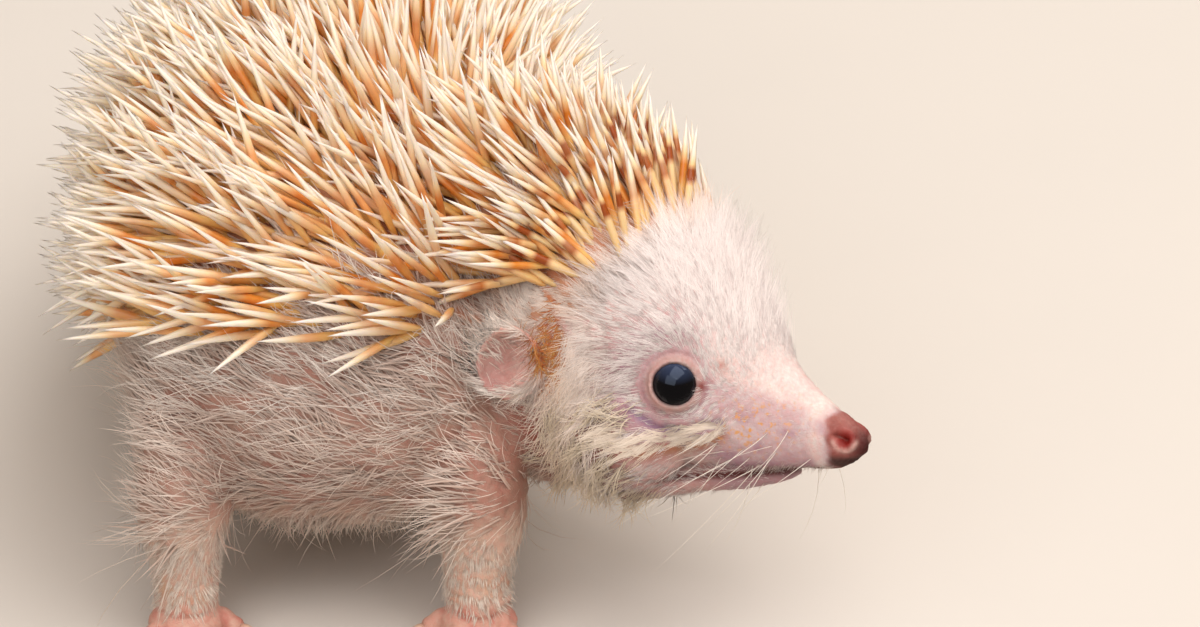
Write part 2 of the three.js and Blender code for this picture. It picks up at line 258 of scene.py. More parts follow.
def lofted(bm, matrix, rows, round_a, round_b, squareness, inset=None, sign=1):
    """A closed form through rows of [along, half width, top, widest, bottom], rounded at both ends."""
    first, last = rows[0][0], rows[-1][0]

    def place(p):
        x = first + (last - first) * (1 - p.z) / 2
        depth = inset(x) if inset else 0
        half, top, widest, bottom = row_at(rows, x)
        ends = [min(d / r, 1) for d, r in ((x - first, round_a), (last - x, round_b))]
        k = min(math.sqrt(max(0, 1 - (1 - e) ** 2)) for e in ends)
        angle = math.atan2(p.y, p.x)
        c, s = math.cos(angle), math.sin(angle)
        power = 2 / squareness
        across = math.copysign(abs(c) ** power, c)
        rise = math.copysign(abs(s) ** power, s)
        reach = (top - widest if s > 0 else widest - bottom) - depth
        return matrix @ Vector((sign * x, across * (half - depth) * k, widest + rise * reach * k))

    ball(bm, place, 72, 64)


def tube(bm, matrix, rows, inset=0.0):
    """A closed limb through rows of [x, y, z, radius], with rounded ends."""
    path = [[i, *row] for i, row in enumerate(rows)]

    def place(p):
        t = (1 - p.z) / 2 * (len(rows) - 1)
        x, y, z, radius = row_at(path, t)
        ahead = row_at(path, min(t + 0.05, len(rows) - 1))
        back = row_at(path, max(t - 0.05, 0))
        way = Vector(ahead[:3]) - Vector(back[:3])
        spin = way.to_track_quat("Z", "X")
        ring = math.hypot(p.x, p.y)
        full = min(ring * 2.2, 1) * (radius - inset)
        flat = Vector((p.x, p.y, 0)) / max(ring, 1e-6) * full
        return matrix @ (Vector((x, y, z)) + spin @ flat)

    ball(bm, place, 28, 36)


def finished(name, bm_or_mesh, material, replaced=()):
    """An object in metres that rides on the body, from a mesh in mm."""
    if isinstance(bm_or_mesh, bmesh.types.BMesh):
        mesh = bpy.data.meshes.new(name)
        bm_or_mesh.to_mesh(mesh)
        bm_or_mesh.free()
    else:
        mesh = bm_or_mesh
    mesh.transform(Matrix.Scale(MM, 4))
    mesh.materials.clear()
    mesh.materials.append(material)
    mesh.shade_smooth()
    made = bpy.data.objects.new(name, mesh)
    bpy.context.scene.collection.objects.link(made)
    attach(made, "root")
    if replaced:
        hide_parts(*replaced)
    return made


WEIGHT_STEPS = 10       # a modifier's weights are rounded to this many steps


def through_modifiers(mesh, *modifiers):
    """The mesh after modifiers, each a type and its settings."""
    worker = bpy.data.objects.new("worker", mesh)
    bpy.context.scene.collection.objects.link(worker)
    for kind, settings in modifiers:
        modifier = worker.modifiers.new(kind, kind)
        if "weights" in settings:
            group = worker.vertex_groups.new(name="weights")
            for step in range(WEIGHT_STEPS + 1):
                chosen = np.nonzero(np.round(settings["weights"] * WEIGHT_STEPS) == step)[0]
                group.add(chosen.tolist(), step / WEIGHT_STEPS, "REPLACE")
            modifier.vertex_group = "weights"
        for key, value in settings.items():
            if key != "weights":
                setattr(modifier, key, value)
    graph = bpy.context.evaluated_depsgraph_get()
    result = bpy.data.meshes.new_from_object(worker.evaluated_get(graph))
    bpy.data.objects.remove(worker)
    return result


def places_of(mesh):
    """The mesh's points as an array."""
    co = np.zeros(len(mesh.vertices) * 3)
    mesh.vertices.foreach_get("co", co)
    return co.reshape(-1, 3)


def normals_of(mesh):
    """The way each of the mesh's points faces."""
    normal = np.zeros(len(mesh.vertices) * 3, np.float32)
    mesh.vertex_normals.foreach_get("vector", normal)
    return normal.reshape(-1, 3).astype(float)


def move_to(mesh, co):
    """Move the mesh's points to new places."""
    mesh.vertices.foreach_set("co", np.asarray(co, np.float32).ravel())
    mesh.update()


def paint(mesh, name, colours):
    """Give the mesh's points a colour each."""
    layer = mesh.attributes.new(name, "FLOAT_COLOR", "POINT")
    full = np.ones((len(colours), 4), np.float32)
    full[:, :3] = colours
    layer.data.foreach_set("color", full.ravel())


def number(mesh, name, values):
    """Give the mesh's points a number each."""
    layer = mesh.attributes.new(name, "FLOAT", "POINT")
    layer.data.foreach_set("value", np.asarray(values, np.float32))


# ---- materials ----


def add(tree, kind, settings=None, **links):
    """A node with its settings, and its inputs set to values or linked to sockets."""
    node = tree.nodes.new(kind)
    for key, value in (settings or {}).items():
        setattr(node, key, value)
    for key, value in links.items():
        socket = node.inputs[int(key[1:])] if key[1:].isdigit() else node.inputs[key.replace("_", " ")]
        if isinstance(value, bpy.types.NodeSocket):
            tree.links.new(value, socket)
        else:
            socket.default_value = value
    return node


def new_material(name, **fixed):
    """A material and its shader, with the values that are the same all over set on its own sockets."""
    material = bpy.data.materials.new(name)
    material.use_nodes = True
    shader = material.node_tree.nodes["Principled BSDF"]
    for key, value in fixed.items():
        shader.inputs[key.replace("_", " ")].default_value = value
    return material, material.node_tree, shader


def mixed(tree, share, a, b, blend="MIX"):
    """Two colours mixed by a share."""
    node = add(tree, "ShaderNodeMix", {"data_type": "RGBA", "blend_type": blend, "clamp_result": False})
    for index, value in ((0, share), (6, a), (7, b)):
        if isinstance(value, bpy.types.NodeSocket):
            tree.links.new(value, node.inputs[index])
        else:
            node.inputs[index].default_value = value
    return node.outputs[2]


def own_place(tree):
    """The object's own coordinates."""
    return add(tree, "ShaderNodeTexCoord").outputs["Object"]


def noise(tree, size_mm, detail=3.0):
    """Noise on the object's own coordinates with features of that size."""
    scale = 1 / (size_mm * MM)
    return add(
        tree, "ShaderNodeTexNoise", Scale=scale, Detail=detail, Roughness=0.55, Vector=own_place(tree),
    ).outputs["Fac"]


def attribute(tree, name, output="Fac"):
    """A value, or a colour, that the mesh carries at its points."""
    return add(tree, "ShaderNodeAttribute", {"attribute_name": name}).outputs[output]


def ranged(tree, value, low, high, to_low=0.0, to_high=1.0):
    """A value brought from one range to another."""
    return add(
        tree, "ShaderNodeMapRange", Value=value, From_Min=low, From_Max=high, To_Min=to_low, To_Max=to_high,
    ).outputs[0]


def combined(tree, operation, a, b):
    """Two values added or multiplied."""
    return add(tree, "ShaderNodeMath", {"operation": operation}, _0=a, _1=b).outputs[0]


def shaded(tree, colour, value):
    """A colour made darker or lighter by a value."""
    grey = add(tree, "ShaderNodeCombineColor", Red=value, Green=value, Blue=value)
    return mixed(tree, 1.0, colour, grey.outputs[0], "MULTIPLY")


def hide_material():
    """Living skin: thin and moist, so light glows through it, with fine creases and pores."""
    material, tree, shader = new_material(
        "skin_bare_creased", Roughness=0.48, Subsurface_Weight=0.08, Subsurface_Scale=1.0 * MM,
        Subsurface_Radius=(1.0, 0.45, 0.35), Specular_IOR_Level=0.45, IOR=1.4,
    )
    blotch = ranged(tree, noise(tree, 2.6, 4), 0.3, 0.7, 0.88, 1.1)
    mottle = ranged(tree, noise(tree, 0.5, 3), 0.3, 0.7, 0.86, 1.12)
    both = combined(tree, "MULTIPLY", blotch, mottle)
    less_red = add(tree, "ShaderNodeCombineColor", Red=1.0, Green=both, Blue=both).outputs[0]
    colour = mixed(tree, 0.75, attribute(tree, "tint", "Color"), less_red, "MULTIPLY")
    grit = ranged(tree, noise(tree, 0.7, 1.5), 0.57, 0.68)
    speck = combined(tree, "MULTIPLY", grit, attribute(tree, "fleck"))
    tree.links.new(mixed(tree, speck, colour, srgb("#E0A05C")), shader.inputs["Base Color"])
    cells = add(tree, "ShaderNodeTexVoronoi", {"feature": "DISTANCE_TO_EDGE"}, Scale=1 / (0.55 * MM),
                Vector=own_place(tree))
    creases = ranged(tree, cells.outputs[0], 0.0, 0.12)
    pores = add(tree, "ShaderNodeBump", Height=noise(tree, 0.22, 3), Strength=0.35, Distance=0.12 * MM)
    folds = add(tree, "ShaderNodeBump", Height=creases, Strength=0.35, Distance=0.08 * MM,
                Normal=pores.outputs[0])
    tree.links.new(folds.outputs[0], shader.inputs["Normal"])
    return material


def hair_material():
    """Fine pale hair: smooth keratin that catches light along its length, darker towards its root."""
    material, tree, shader = new_material(
        "hair_fine_pale", Roughness=0.5, Specular_IOR_Level=0.5, IOR=1.55, Sheen_Weight=0.15,
        Sheen_Roughness=0.4, Subsurface_Weight=0.4, Subsurface_Scale=0.5 * MM,
        Subsurface_Radius=(1.0, 0.85, 0.75),
    )
    shade = ranged(tree, attribute(tree, "along"), 0.0, 0.5, 0.94, 1.0)
    tree.links.new(shaded(tree, attribute(tree, "tint", "Color"), shade), shader.inputs["Base Color"])
    return material


def quill_material(look):
    """Quill keratin, smooth and half clear: a cream tip, an orange-brown band and a tan root."""
    material, tree, shader = new_material(
        "quill_keratin_banded", Roughness=0.36, Specular_IOR_Level=0.5, IOR=1.55,
        Subsurface_Weight=0.35, Subsurface_Scale=1.6 * MM, Subsurface_Radius=(1.0, 0.68, 0.35),
    )
    shift = ranged(tree, attribute(tree, "tone"), 0.0, 1.0, -0.09, 0.09)
    place = combined(tree, "ADD", attribute(tree, "along"), shift)

    def along_quill(*stops):
        """A run of colours from the root to the tip."""
        node = add(tree, "ShaderNodeValToRGB", Fac=place)
        elements = node.color_ramp.elements
        elements[0].position, elements[0].color = stops[0]
        elements[1].position, elements[1].color = stops[-1]
        for position, colour in stops[1:-1]:
            elements.new(position).color = colour
        return node.outputs[0]

    root, tip, end = (*look.root, 1), (*look.tip, 1), srgb("#FFF5EA")
    amber, brown = (*look.band, 1), srgb("#9C4A12")
    plain = along_quill((0, root), (0.3, srgb("#F9D294")), (0.58, tip), (1, end))
    banded = along_quill((0, root), (0.24, srgb("#F4BE6E")), (0.35, amber), (0.46, amber),
                         (0.57, srgb("#F6CE98")), (0.68, tip), (1, end))
    marked = along_quill((0, srgb("#F3C98E")), (0.4, srgb("#F7D3A0")), (0.47, brown), (0.57, brown),
                         (0.63, srgb("#F5CD94")), (0.73, tip), (1, end))
    common = mixed(tree, attribute(tree, "band"), plain, banded)
    tree.links.new(mixed(tree, attribute(tree, "deep"), common, marked), shader.inputs["Base Color"])
    fine = add(tree, "ShaderNodeBump", Height=noise(tree, 0.4, 2), Strength=0.2, Distance=0.04 * MM)
    tree.links.new(fine.outputs[0], shader.inputs["Normal"])
    return material


def eye_material():
    """A wet dark eye: nearly black brown, with a painted blue-grey reflection of the sky on its upper part.
    """
    material, tree, shader = new_material(
        "eye_wet_dark", Roughness=0.04, IOR=1.38, Specular_IOR_Level=0.6,
        Specular_Tint=(0.6, 0.75, 1.0, 1.0),
    )
    depth = ranged(tree, noise(tree, 3.0, 2), 0.0, 1.0, 0.6, 1.0)
    colour = mixed(tree, depth, srgb("#020203"), srgb("#0B0708"))
    height = EYES["right"].z
    place = add(tree, "ShaderNodeSeparateXYZ", Vector=own_place(tree)).outputs["Z"]
    # painted reflection: the eye's upper part turns blue-grey as if it mirrored the sky
    painted_sky_reflection = ranged(tree, place, (height + 1.2) * MM, (height + 3.2) * MM)
    tree.links.new(mixed(tree, painted_sky_reflection, colour, srgb("#36425F")), shader.inputs["Base Color"])
    return material


def claw_material():
    """Claw horn: thin, half clear, with lengthwise streaks and a paler end."""
    material, tree, shader = new_material(
        "claw_horn_streaked", Roughness=0.35, IOR=1.55, Subsurface_Weight=0.3, Subsurface_Scale=1.0 * MM,
        Subsurface_Radius=(1.0, 0.7, 0.5),
    )
    base = mixed(tree, attribute(tree, "along"), srgb("#C99A86"), srgb("#EFE0CC"))
    streak = ranged(tree, noise(tree, 0.25, 2), 0.0, 1.0, 0.82, 1.08)
    tree.links.new(shaded(tree, base, streak), shader.inputs["Base Color"])
    return material


def floor_material(look):
    """Matte paint: plain and pale, with a very faint unevenness."""
    material, tree, shader = new_material("floor_matte_paint", Roughness=0.75)
    tone = ranged(tree, noise(tree, 40, 3), 0.0, 1.0, 0.97, 1.0)
    tree.links.new(shaded(tree, (*look.floor, 1), tone), shader.inputs["Base Color"])
    return material


# ---- the skin's forms ----

# rows of the head to the ends of its hair: [behind the nose tip, half width, top, widest, bottom]
HEAD_ROWS = [
    [0, 1.9, 1.5, -0.3, -2.5],
    [4.3, 3.3, 3.6, 0, -3.9],
    [8, 4.6, 5.6, 0.4, -4.3],
    [13, 7.2, 9.6, 1.6, -4.9],
    [18, 10.8, 17.2, 4, -5.5],
    [23, 13.6, 24.2, 6, -6.8],
    [27, 14.8, 27.2, 7, -8.8],
    [33, 16, 30, 7.5, -11.2],
    [42, 16.8, 35, 7.5, -13],
    [66, 17, 34, 7, -11],
]
JAW_ROWS = [
    [9.6, 2.0, -3.4, -4.8, -6.0],
    [12.5, 3.4, -3.4, -5.2, -6.7],
    [16, 4.9, -3.6, -5.9, -7.7],
    [21, 6.2, -4.2, -6.8, -8.5],
    [27, 7.8, -5.0, -8.2, -10.0],
    [34, 8.4, -7.0, -10.5, -11.8],
]
# rows of the legs, top to bottom: [ahead of the wrist or heel, outward, height, radius]
FORELEG_ROWS = [[-13, -3, 27, 8.0], [-4, 0, 17, 6.2], [-1, 0, 9.5, 4.3], [0.6, 0, 3.2, 3.9]]
HINDLEG_ROWS = [[14, -4, 23, 10.5], [6, 0, 15, 8.0], [-3, 0, 9, 4.4], [-5, 0, 3.0, 3.2]]
FORE_X, FORE_SPREAD = 36, 18.2
HIND_X, HIND_SPREAD = -33, 17
TAIL_X, TAIL_LENGTH = -66, 13
TAIL_ROWS = ((-0.4, 3.4), (0.2, 2.6), (0.95, 0.9))      # share of its length, radius
# the paws: [ahead of the shoulders, outward, length, width, toes, turn outward in degrees, has a thumb]
PAWS = (
    (FORE_X + 1, FORE_SPREAD, 12, 11.5, 5, -4, True),
    (HIND_X, HIND_SPREAD, 23, 9.5, 4, 8, False),
)

EAR_PLACE = (-40.6, 17.6, 8.6)      # in the head's frame, on the left
EAR_SIZE = (4.1, 1.1, 5.2)          # half its width, thickness and height
EAR_LEAN, EAR_TURN = 16, 28         # outward, and open to the front, in degrees
LID_RADIUS, LID_THICK, LID_BEADS = 2.98, 0.45, 40
EYE_RADIUS = 3.1
EYE_SUNK = 0.35                     # how far the ball's centre lies behind the CAD eye's
MOUTH_LINE = [(3.2, -3.6), (8, -4.3), (14, -5.0), (19, -5.6), (24.3, -6.4)]   # behind, height
NOSTRIL = (-1.9, 2.2, 0.55)         # in the head's frame, on the left
# lines on the face round an eye: [ahead of it, above it]
EYE_FOLD = [(-5.4, -3.4), (-2.0, -5.6), (2.0, -5.9), (5.5, -4.7)]
SWOOSH = [(5.6, -5.0), (3.0, -6.2), (-4.2, -7.2), (-7.9, -5.4)]


def toes_of(x, y, side, length, width, count, turn, thumb):
    """Each toe of a paw: its root, its way over the floor, its length and its half width."""
    spin = math.radians(turn * side)
    toes = []
    for i in range(count):
        place = i / (count - 1) - 0.5
        is_thumb = thumb and i == 0
        spread = math.radians(side * -62 if is_thumb else place * side * 46) + spin
        root = Vector((-length * 0.06 if is_thumb else length * 0.2, place * side * width * 0.72, 0))
        root.rotate(Euler((0, 0, spin)))
        long = 3.0 if is_thumb else 5.0 * (1 - 0.3 * abs(place))
        way = Vector((math.cos(spread), math.sin(spread), 0))
        toes.append((Vector((x, y, 0)) + root, way, long, width * 0.115))
    return toes


def all_paws():
    """Each paw's centre, length, width, turn and toes, in the trunk's frame."""
    for side in SIDES.values():
        for x, spread, length, width, count, turn, thumb in PAWS:
            y = side * spread
            toes = toes_of(x, y, side, length, width, count, turn, thumb)
            yield (x, y, 2.5), length, width, turn * side, toes


def eye_out(side):
    """The way an eye looks, in the head's frame."""
    return Vector((0.50, side * 0.85, 0.17)).normalized()


def add_ear(bm, side):
    """A pinna: a thin dish, hollow on its outer side, with a rolled rim."""
    spin = Euler((math.radians(-side * EAR_LEAN), 0, math.radians(-side * EAR_TURN))).to_matrix()
    centre = Vector(mirrored(EAR_PLACE, side))

    def place(p):
        across = math.hypot(p.x, p.z)
        dish = -2.1 + 3.3 * across**2 if p.y * side > 0 else -2.7 + 3.0 * across**2
        if p.y * side > 0:
            dish += 0.9 * math.exp(-(((p.x + 0.3 + 0.25 * p.z) / 0.13) ** 2) - ((p.z + 0.1) / 0.55) ** 2)
        thick = EAR_SIZE[1] * abs(p.y) * 0.45
        y = side * (dish + (thick if p.y * side > 0 else -thick))
        wide = EAR_SIZE[0] * (1 - 0.12 * p.z)
        return HEAD @ (centre + spin @ Vector((p.x * wide, y, p.z * EAR_SIZE[2])))

    ball(bm, place, 40, 28)


def add_lids(bm, side):
    """The ring of lid skin round an eye, drawn to a point at its front corner."""
    out = eye_out(side)
    spin = out.to_track_quat("Z", "Y")
    centre = Vector((-EYE_BEHIND, side * abs(into(HEAD, [EYES["left"]])[0][1]), EYE_HEIGHT)) + out * 1.25
    for i in range(LID_BEADS):
        angle = 2 * math.pi * i / LID_BEADS
        way = spin @ Vector((math.cos(angle), math.sin(angle), 0))
        front = max(0.0, way.x * 0.86 - way.z * 0.2)
        reach = LID_RADIUS + 0.55 * front**10 - 0.18 * abs(way.z)
        thick = LID_THICK * (1 - 0.25 * front)
        egg(bm, HEAD, centre + way * reach - out * 0.35 * front, (thick,) * 3, around=10, along=8)


def skin_forms():
    """The whole body as overlapping closed forms, in mm."""
    look = bpy.context.scene.hedgehog_skin
    bm = bmesh.new()

    def hair_depth(x):
        return 0.1 + look.face_depth * float(ramp(x, 12, 26)) + 0.8 * float(ramp(x, 30, 42))

    lofted(bm, HEAD, HEAD_ROWS, 3.4, 16, 2.1, inset=hair_depth, sign=-1)
    lofted(bm, HEAD, JAW_ROWS, 2.6, 5, 2.4, sign=-1)
    for side in (1, -1):
        add_ear(bm, side)
        add_lids(bm, side)
        egg(bm, HEAD, (-2.3, side * 1.5, 0.2), (1.8, 1.25, 1.6))
        egg(bm, HEAD, (-30, side * 8.2, 0), (9, 7.2, 8.5))
        for x, spread, rows in ((FORE_X, FORE_SPREAD, FORELEG_ROWS), (HIND_X, HIND_SPREAD, HINDLEG_ROWS)):
            tube(bm, TRUNK, [[x + r[0], side * (spread + r[1]), r[2], r[3]] for r in rows])
    egg(bm, HEAD, (-1.5, 0, -0.5), (1.6, 1.4, 1.6))
    tube(bm, TRUNK, [[TAIL_X - TAIL_LENGTH * t, 0, 17 - 4 * t, r] for t, r in TAIL_ROWS])
    for centre, length, width, turn, toes in all_paws():
        egg(bm, TRUNK, centre, (length * 0.34, width * 0.42, 3.1), (0, 0, turn))
        for root, way, long, half in toes:
            spin = (0, 0, math.degrees(math.atan2(way.y, way.x)))
            knuckle = root + way * long * 0.15 + Vector((0, 0, 2.1))
            egg(bm, TRUNK, knuckle, (long * 0.6, half * 1.05, 1.9), spin)
            pad = root + way * long * 0.72 + Vector((0, 0, 1.5))
            egg(bm, TRUNK, pad, (long * 0.36, half * 1.12, 1.5), spin)
    mesh = bpy.data.meshes.new("forms")
    bm.to_mesh(mesh)
    bm.free()
    return mesh


def trunk_form():
    """The trunk's skin: the CAD trunk, rounded and drawn in by the depth of the coat."""
    look = bpy.context.scene.hedgehog_skin
    bm = bmesh.new()
    bm.from_mesh(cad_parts["trunk"].data)
    bmesh.ops.scale(bm, vec=(1 / MM,) * 3, verts=bm.verts)
    bmesh.ops.remove_doubles(bm, verts=bm.verts, dist=1e-3)
    mesh = bpy.data.meshes.new("trunk_form")
    bm.to_mesh(mesh)
    bm.free()
    mesh = through_modifiers(mesh, ("SUBSURF", {"levels": 2, "render_levels": 2}))
    move_to(mesh, places_of(mesh) - normals_of(mesh) * (look.coat_depth - 0.5))
    return mesh


def joined(*meshes):
    """The meshes as one."""
    bm = bmesh.new()
    for mesh in meshes:
        bm.from_mesh(mesh)
    mesh = bpy.data.meshes.new("joined")
    bm.to_mesh(mesh)
    bm.free()
    return mesh


def distance_to_line(points, line):
    """Distance in a plane from points to a line through places."""
    best = np.full(len(points), 1e9)
    for a, b in zip(line[:-1], line[1:]):
        a, b = np.array(a), np.array(b)
        t = np.clip(((points - a) @ (b - a)) / ((b - a) @ (b - a)), 0, 1)
        best = np.minimum(best, np.linalg.norm(points - a - t[:, None] * (b - a), axis=1))
    return best


def eye_view(co, side):
    """Places seen from an eye: forward and up across its face, and the distance from its axis."""
    eye = np.array(EYES["left" if side > 0 else "right"])
    out = eye_out(side)
    up = Vector((0, 0, 1))
    up = (up - out * up.dot(out)).normalized()
    ahead = Vector(up.cross(out)) * side
    local = into(HEAD_TURN, co - eye)
    x, y, h = (local @ np.array(axis) for axis in (ahead, up, out))
    if ahead.x < 0:
        x = -x
    return x, y, np.hypot(x, y), h


def slant_of(behind, up):
    """How far a place lies behind the edge of the nose pad."""
    return behind - 4.3 - 0.12 * up


def carve(co, normal):
    """The fine forms of the face, pressed into the skin or raised from it."""
    head = into(HEAD, co)
    behind, side, up = seen(co)
    move = np.zeros(len(co))
    near_face = behind < 46
    mouth = distance_to_line(np.stack([behind, up], 1), MOUTH_LINE)
    outer = ramp(np.abs(side), 0.6, 1.4) * ramp(np.abs(normal @ np.array(HEAD_TURN)[:3, 1]), 0.15, 0.4)
    move -= near_face * 0.5 * bump(mouth, 0.3) * outer * ramp(behind, 2.2, 3.4)
    move += near_face * 0.18 * bump(mouth - 0.9, 0.5) * outer * ramp(-up, 3, 5)
    slant = slant_of(behind, up)
    move -= near_face * 0.2 * bump(slant, 0.5) * ramp(up, -3.6, -2.0)
    for sign in (1, -1):
        away = np.linalg.norm(head - mirrored(NOSTRIL, sign), axis=1)
        groove = mirrored((NOSTRIL[0] - 0.9, 2.5, NOSTRIL[2] + 0.55), sign)
        comma = np.linalg.norm((head - groove) * [1, 1, 1.5], axis=1)
        move += 0.22 * bump(away - 1.15, 0.45)
        move -= 2.0 * bump(away, 0.8) + 1.2 * bump(comma, 0.55)
        x, y, r, h = eye_view(co, sign)
        facing = (h > -2.5) & (r < 12)
        angle = np.arctan2(y, x)
        move += facing * 0.35 * bump(r - 6.4, 1.4) * ramp(y, -1, 3)
        low = ramp(-y + 0.5 * np.abs(x), 0.5, 3)
        move -= facing * 0.34 * bump(r - 4.05 - 0.3 * np.cos(angle), 0.36) * low
        move -= facing * 0.2 * bump(r - 3.75, 0.28) * (1 - low)
        fold = distance_to_line(np.stack([x, y], 1), EYE_FOLD)
        move -= facing * 0.4 * bump(fold, 0.5)
    pebbles = ripple(co, 0.8, 8) * ripple(co, 1.1, 9) * (1 - ramp(slant, -1, 0.6))
    move += 0.09 * pebbles
    philtrum = bump(side, 0.28) * ramp(-up, -0.2, 0.8) * (behind < 3.6)
    move -= 0.35 * philtrum
    wrinkle = ripple(co * [1, 1, 1.6], 2.3, 5) * ramp(behind, 24, 34) * near_face
    move += 0.12 * wrinkle + 0.05 * ripple(co, 1.2, 6) * near_face * ramp(behind, 4, 7)
    trunk = into(TRUNK, co)
    wrist = ramp(trunk[:, 2], 2.5, 4) * (1 - ramp(trunk[:, 2], 9, 13)) * (~near_face | (trunk[:, 2] < 20))
    move += 0.07 * wrist * np.sin(trunk[:, 2] * 3.4 + ripple(co, 4, 7) * 2.5)
    return co + normal * move[:, None]


def laid(colour, share, over):
    """Colours covered by another one, by a share at each place."""
    share = np.clip(share, 0, 1)[:, None]
    return colour * (1 - share) + np.array(over) * share


def skin_colours(co):
    """The colour of the bare skin at each place, from where it lies on the body, with painted shade in its
    folds, hollows and under locks, and painted light on the snout's top and beside the ears.
    """
    look = bpy.context.scene.hedgehog_skin
    head, trunk = into(HEAD, co), into(TRUNK, co)
    behind, side, up = seen(co)
    colour = np.tile(np.array(look.body), (len(co), 1))

    def lay(share, hex_colour):
        nonlocal colour
        colour = laid(colour, share, srgb(hex_colour)[:3])

    # the trunk and the face
    red = 0.5 + 0.5 * ripple(co, 11, 21)
    lay(0.5 * ramp(red, 0.4, 0.9), "#A67264")
    on_head = 1 - ramp(behind, 33, 38)
    in_head = (np.abs(side) < 19) & (up > -14)
    face = on_head * in_head
    colour = laid(colour, face, look.face)
    lay(face * 0.25 * ramp(ripple(co, 7, 22), 0.1, 0.9), "#C98F90")
    lay(face * ramp(behind, 24, 30) * (1 - ramp(up, 10, 18)) * 0.7, "#B58482")
    # the bare snout with a painted highlight on its top, and the deep red-brown skin between the cheeks'
    # locks, partly painted shade
    snout = (1 - ramp(behind, 16, 21)) * in_head
    lay(0.85 * snout, "#C9ABB0")
    lay(snout * 0.4 * ramp(ripple(co, 3.0, 23), 0.0, 1.2), "#E2D0CE")
    # painted highlight: lighter along the top of the snout
    lay(snout * 0.55 * ramp(up - 0.4 * (behind - 4), 1.6, 3.4) * ramp(behind, 4, 6), "#F1E3DC")
    lay(snout * 0.75 * ramp(ripple(co, 4.6, 24), 0.15, 0.9) * (1 - ramp(up, 2, 5)), "#AC8799")
    # darker red-brown on the cheek below the eye's locks and between the cheeks' locks: partly the skin's own
    # colour, partly painted shade under the locks
    lay(0.75 * in_head * bump(behind - 25, 5) * bump(up + 2.0, 2.6), "#A06E66")
    lay(0.8 * in_head * ramp(behind, 25, 29) * (1 - ramp(behind, 40, 44)) * (1 - ramp(up, 1, 6)), "#7E4A3A")
    under = in_head * (1 - ramp(behind, 32, 36)) * ramp(-up - 0.08 * behind, 2.3, 3.3)
    lay(0.7 * under, "#A97E7A")
    # the lips and the nose pad
    mouth = distance_to_line(np.stack([behind, up], 1), MOUTH_LINE)
    lip = bump(mouth, 0.9) * (1 - ramp(behind, 17, 24)) * ramp(behind, 0.5, 2)
    lay(snout * 0.5 * (1 - ramp(up, -3.5, 0.5)), "#A98595")
    lay(0.75 * lip, "#7A5B57")
    lay(0.95 * bump(mouth, 0.38) * in_head * ramp(behind, 2.5, 4), "#5A1F1D")
    pad = 1 - ramp(behind - 0.12 * up + 0.35 * ripple(co, 1.6, 29), 3.4, 4.9)
    lay(0.6 * bump(slant_of(behind, up) - 1.2, 0.9) * in_head, "#EBD8D2")
    lay(0.9 * pad, "#934B40")
    lay(0.4 * pad * ramp(ripple(co, 1.1, 26), 0.3, 0.9), "#B97C74")
    lay(0.9 * pad * bump(behind, 1.4), "#42191A")
    lay(0.9 * pad * ramp(-up, 1.2, 2.2), "#3A2826")
    for sign in (1, -1):
        away = np.linalg.norm(head - mirrored(NOSTRIL, sign), axis=1)
        lay(0.75 * bump(away - 1.35, 0.34) * ramp(NOSTRIL[2] - up, -0.4, 0.5), "#F0CFC6")
        lay(1.2 * bump(away, 1.15), "#A01A14")
        # painted shade: near black deep in the nostril
        lay(1.1 * bump(away, 0.6), "#3A0605")
        x, y, r, h = eye_view(co, sign)
        facing = (h > -2.5) & in_head
        low = 0.35 + 0.65 * ramp(-y + 0.5 * np.abs(x), 0.5, 3)
        lay(0.8 * facing * bump(r - 6.4, 2.8) * ramp(-x + 0.3 * np.abs(y), -4, 2), "#A67E8C")
        lay(0.75 * facing * bump(r - 3.2, 0.5), "#B48F88")
        lay(0.55 * facing * bump(r - 4.4, 0.9), "#C39FA6")
        lay(0.5 * facing * bump(r - 4.0, 0.3) * low, "#96707A")
        fold = distance_to_line(np.stack([x, y], 1), EYE_FOLD)
        # painted shade in the fold below and behind the eye
        lay(0.75 * facing * bump(fold, 0.6), "#8E7191")
        # painted shade: warm brown under the band of cream locks below the eye
        below = distance_to_line(np.stack([x, y + 1.5], 1), SWOOSH)
        lay(0.8 * (h > -5) * in_head * (side * sign > 0) * bump(below, 0.9), "#A3683F")
        corner = np.hypot(x - 3.3, y + 0.3)
        lay(0.9 * facing * bump(corner, 0.7), "#7C2C27")
        lay(0.9 * facing * (1 - ramp(r, 2.5, 2.95)), "#2B1513")
        spot = np.hypot(x - 5.7, y - 2.3)
        lay(0.7 * facing * bump(spot + 0.4 * ripple(co, 1.2, 27), 0.9), "#B4695A")
        ear = np.linalg.norm((head - mirrored(EAR_PLACE, sign)) / [6, 5, 7], axis=1)
        on_ear = (1 - ramp(ear, 0.85, 1.15)) * (np.abs(side) > 15.5)
        lay(0.85 * on_ear, "#E6BBB0")
        # painted shade in the ear's hollow: darker at its middle and over its hind half
        lay(0.7 * on_ear * bump(ear, 0.5), "#B97A7E")
        lay(0.6 * on_ear * ramp(behind + EAR_PLACE[0], -0.5, 2.5), "#9C6A74")
        ahead_of_ear = bump(behind - 36.3, 1.6) * bump(up - 9, 4.2) * (side * sign > 11)
        lay(0.9 * ahead_of_ear, "#8E430F")
    # painted light: a lighter warm patch beside the ears, where the quills' shadow falls
    lay(0.6 * bump(behind - 43, 5) * bump(up - 12, 7) * (np.abs(side) > 10), "#DDB3A6")
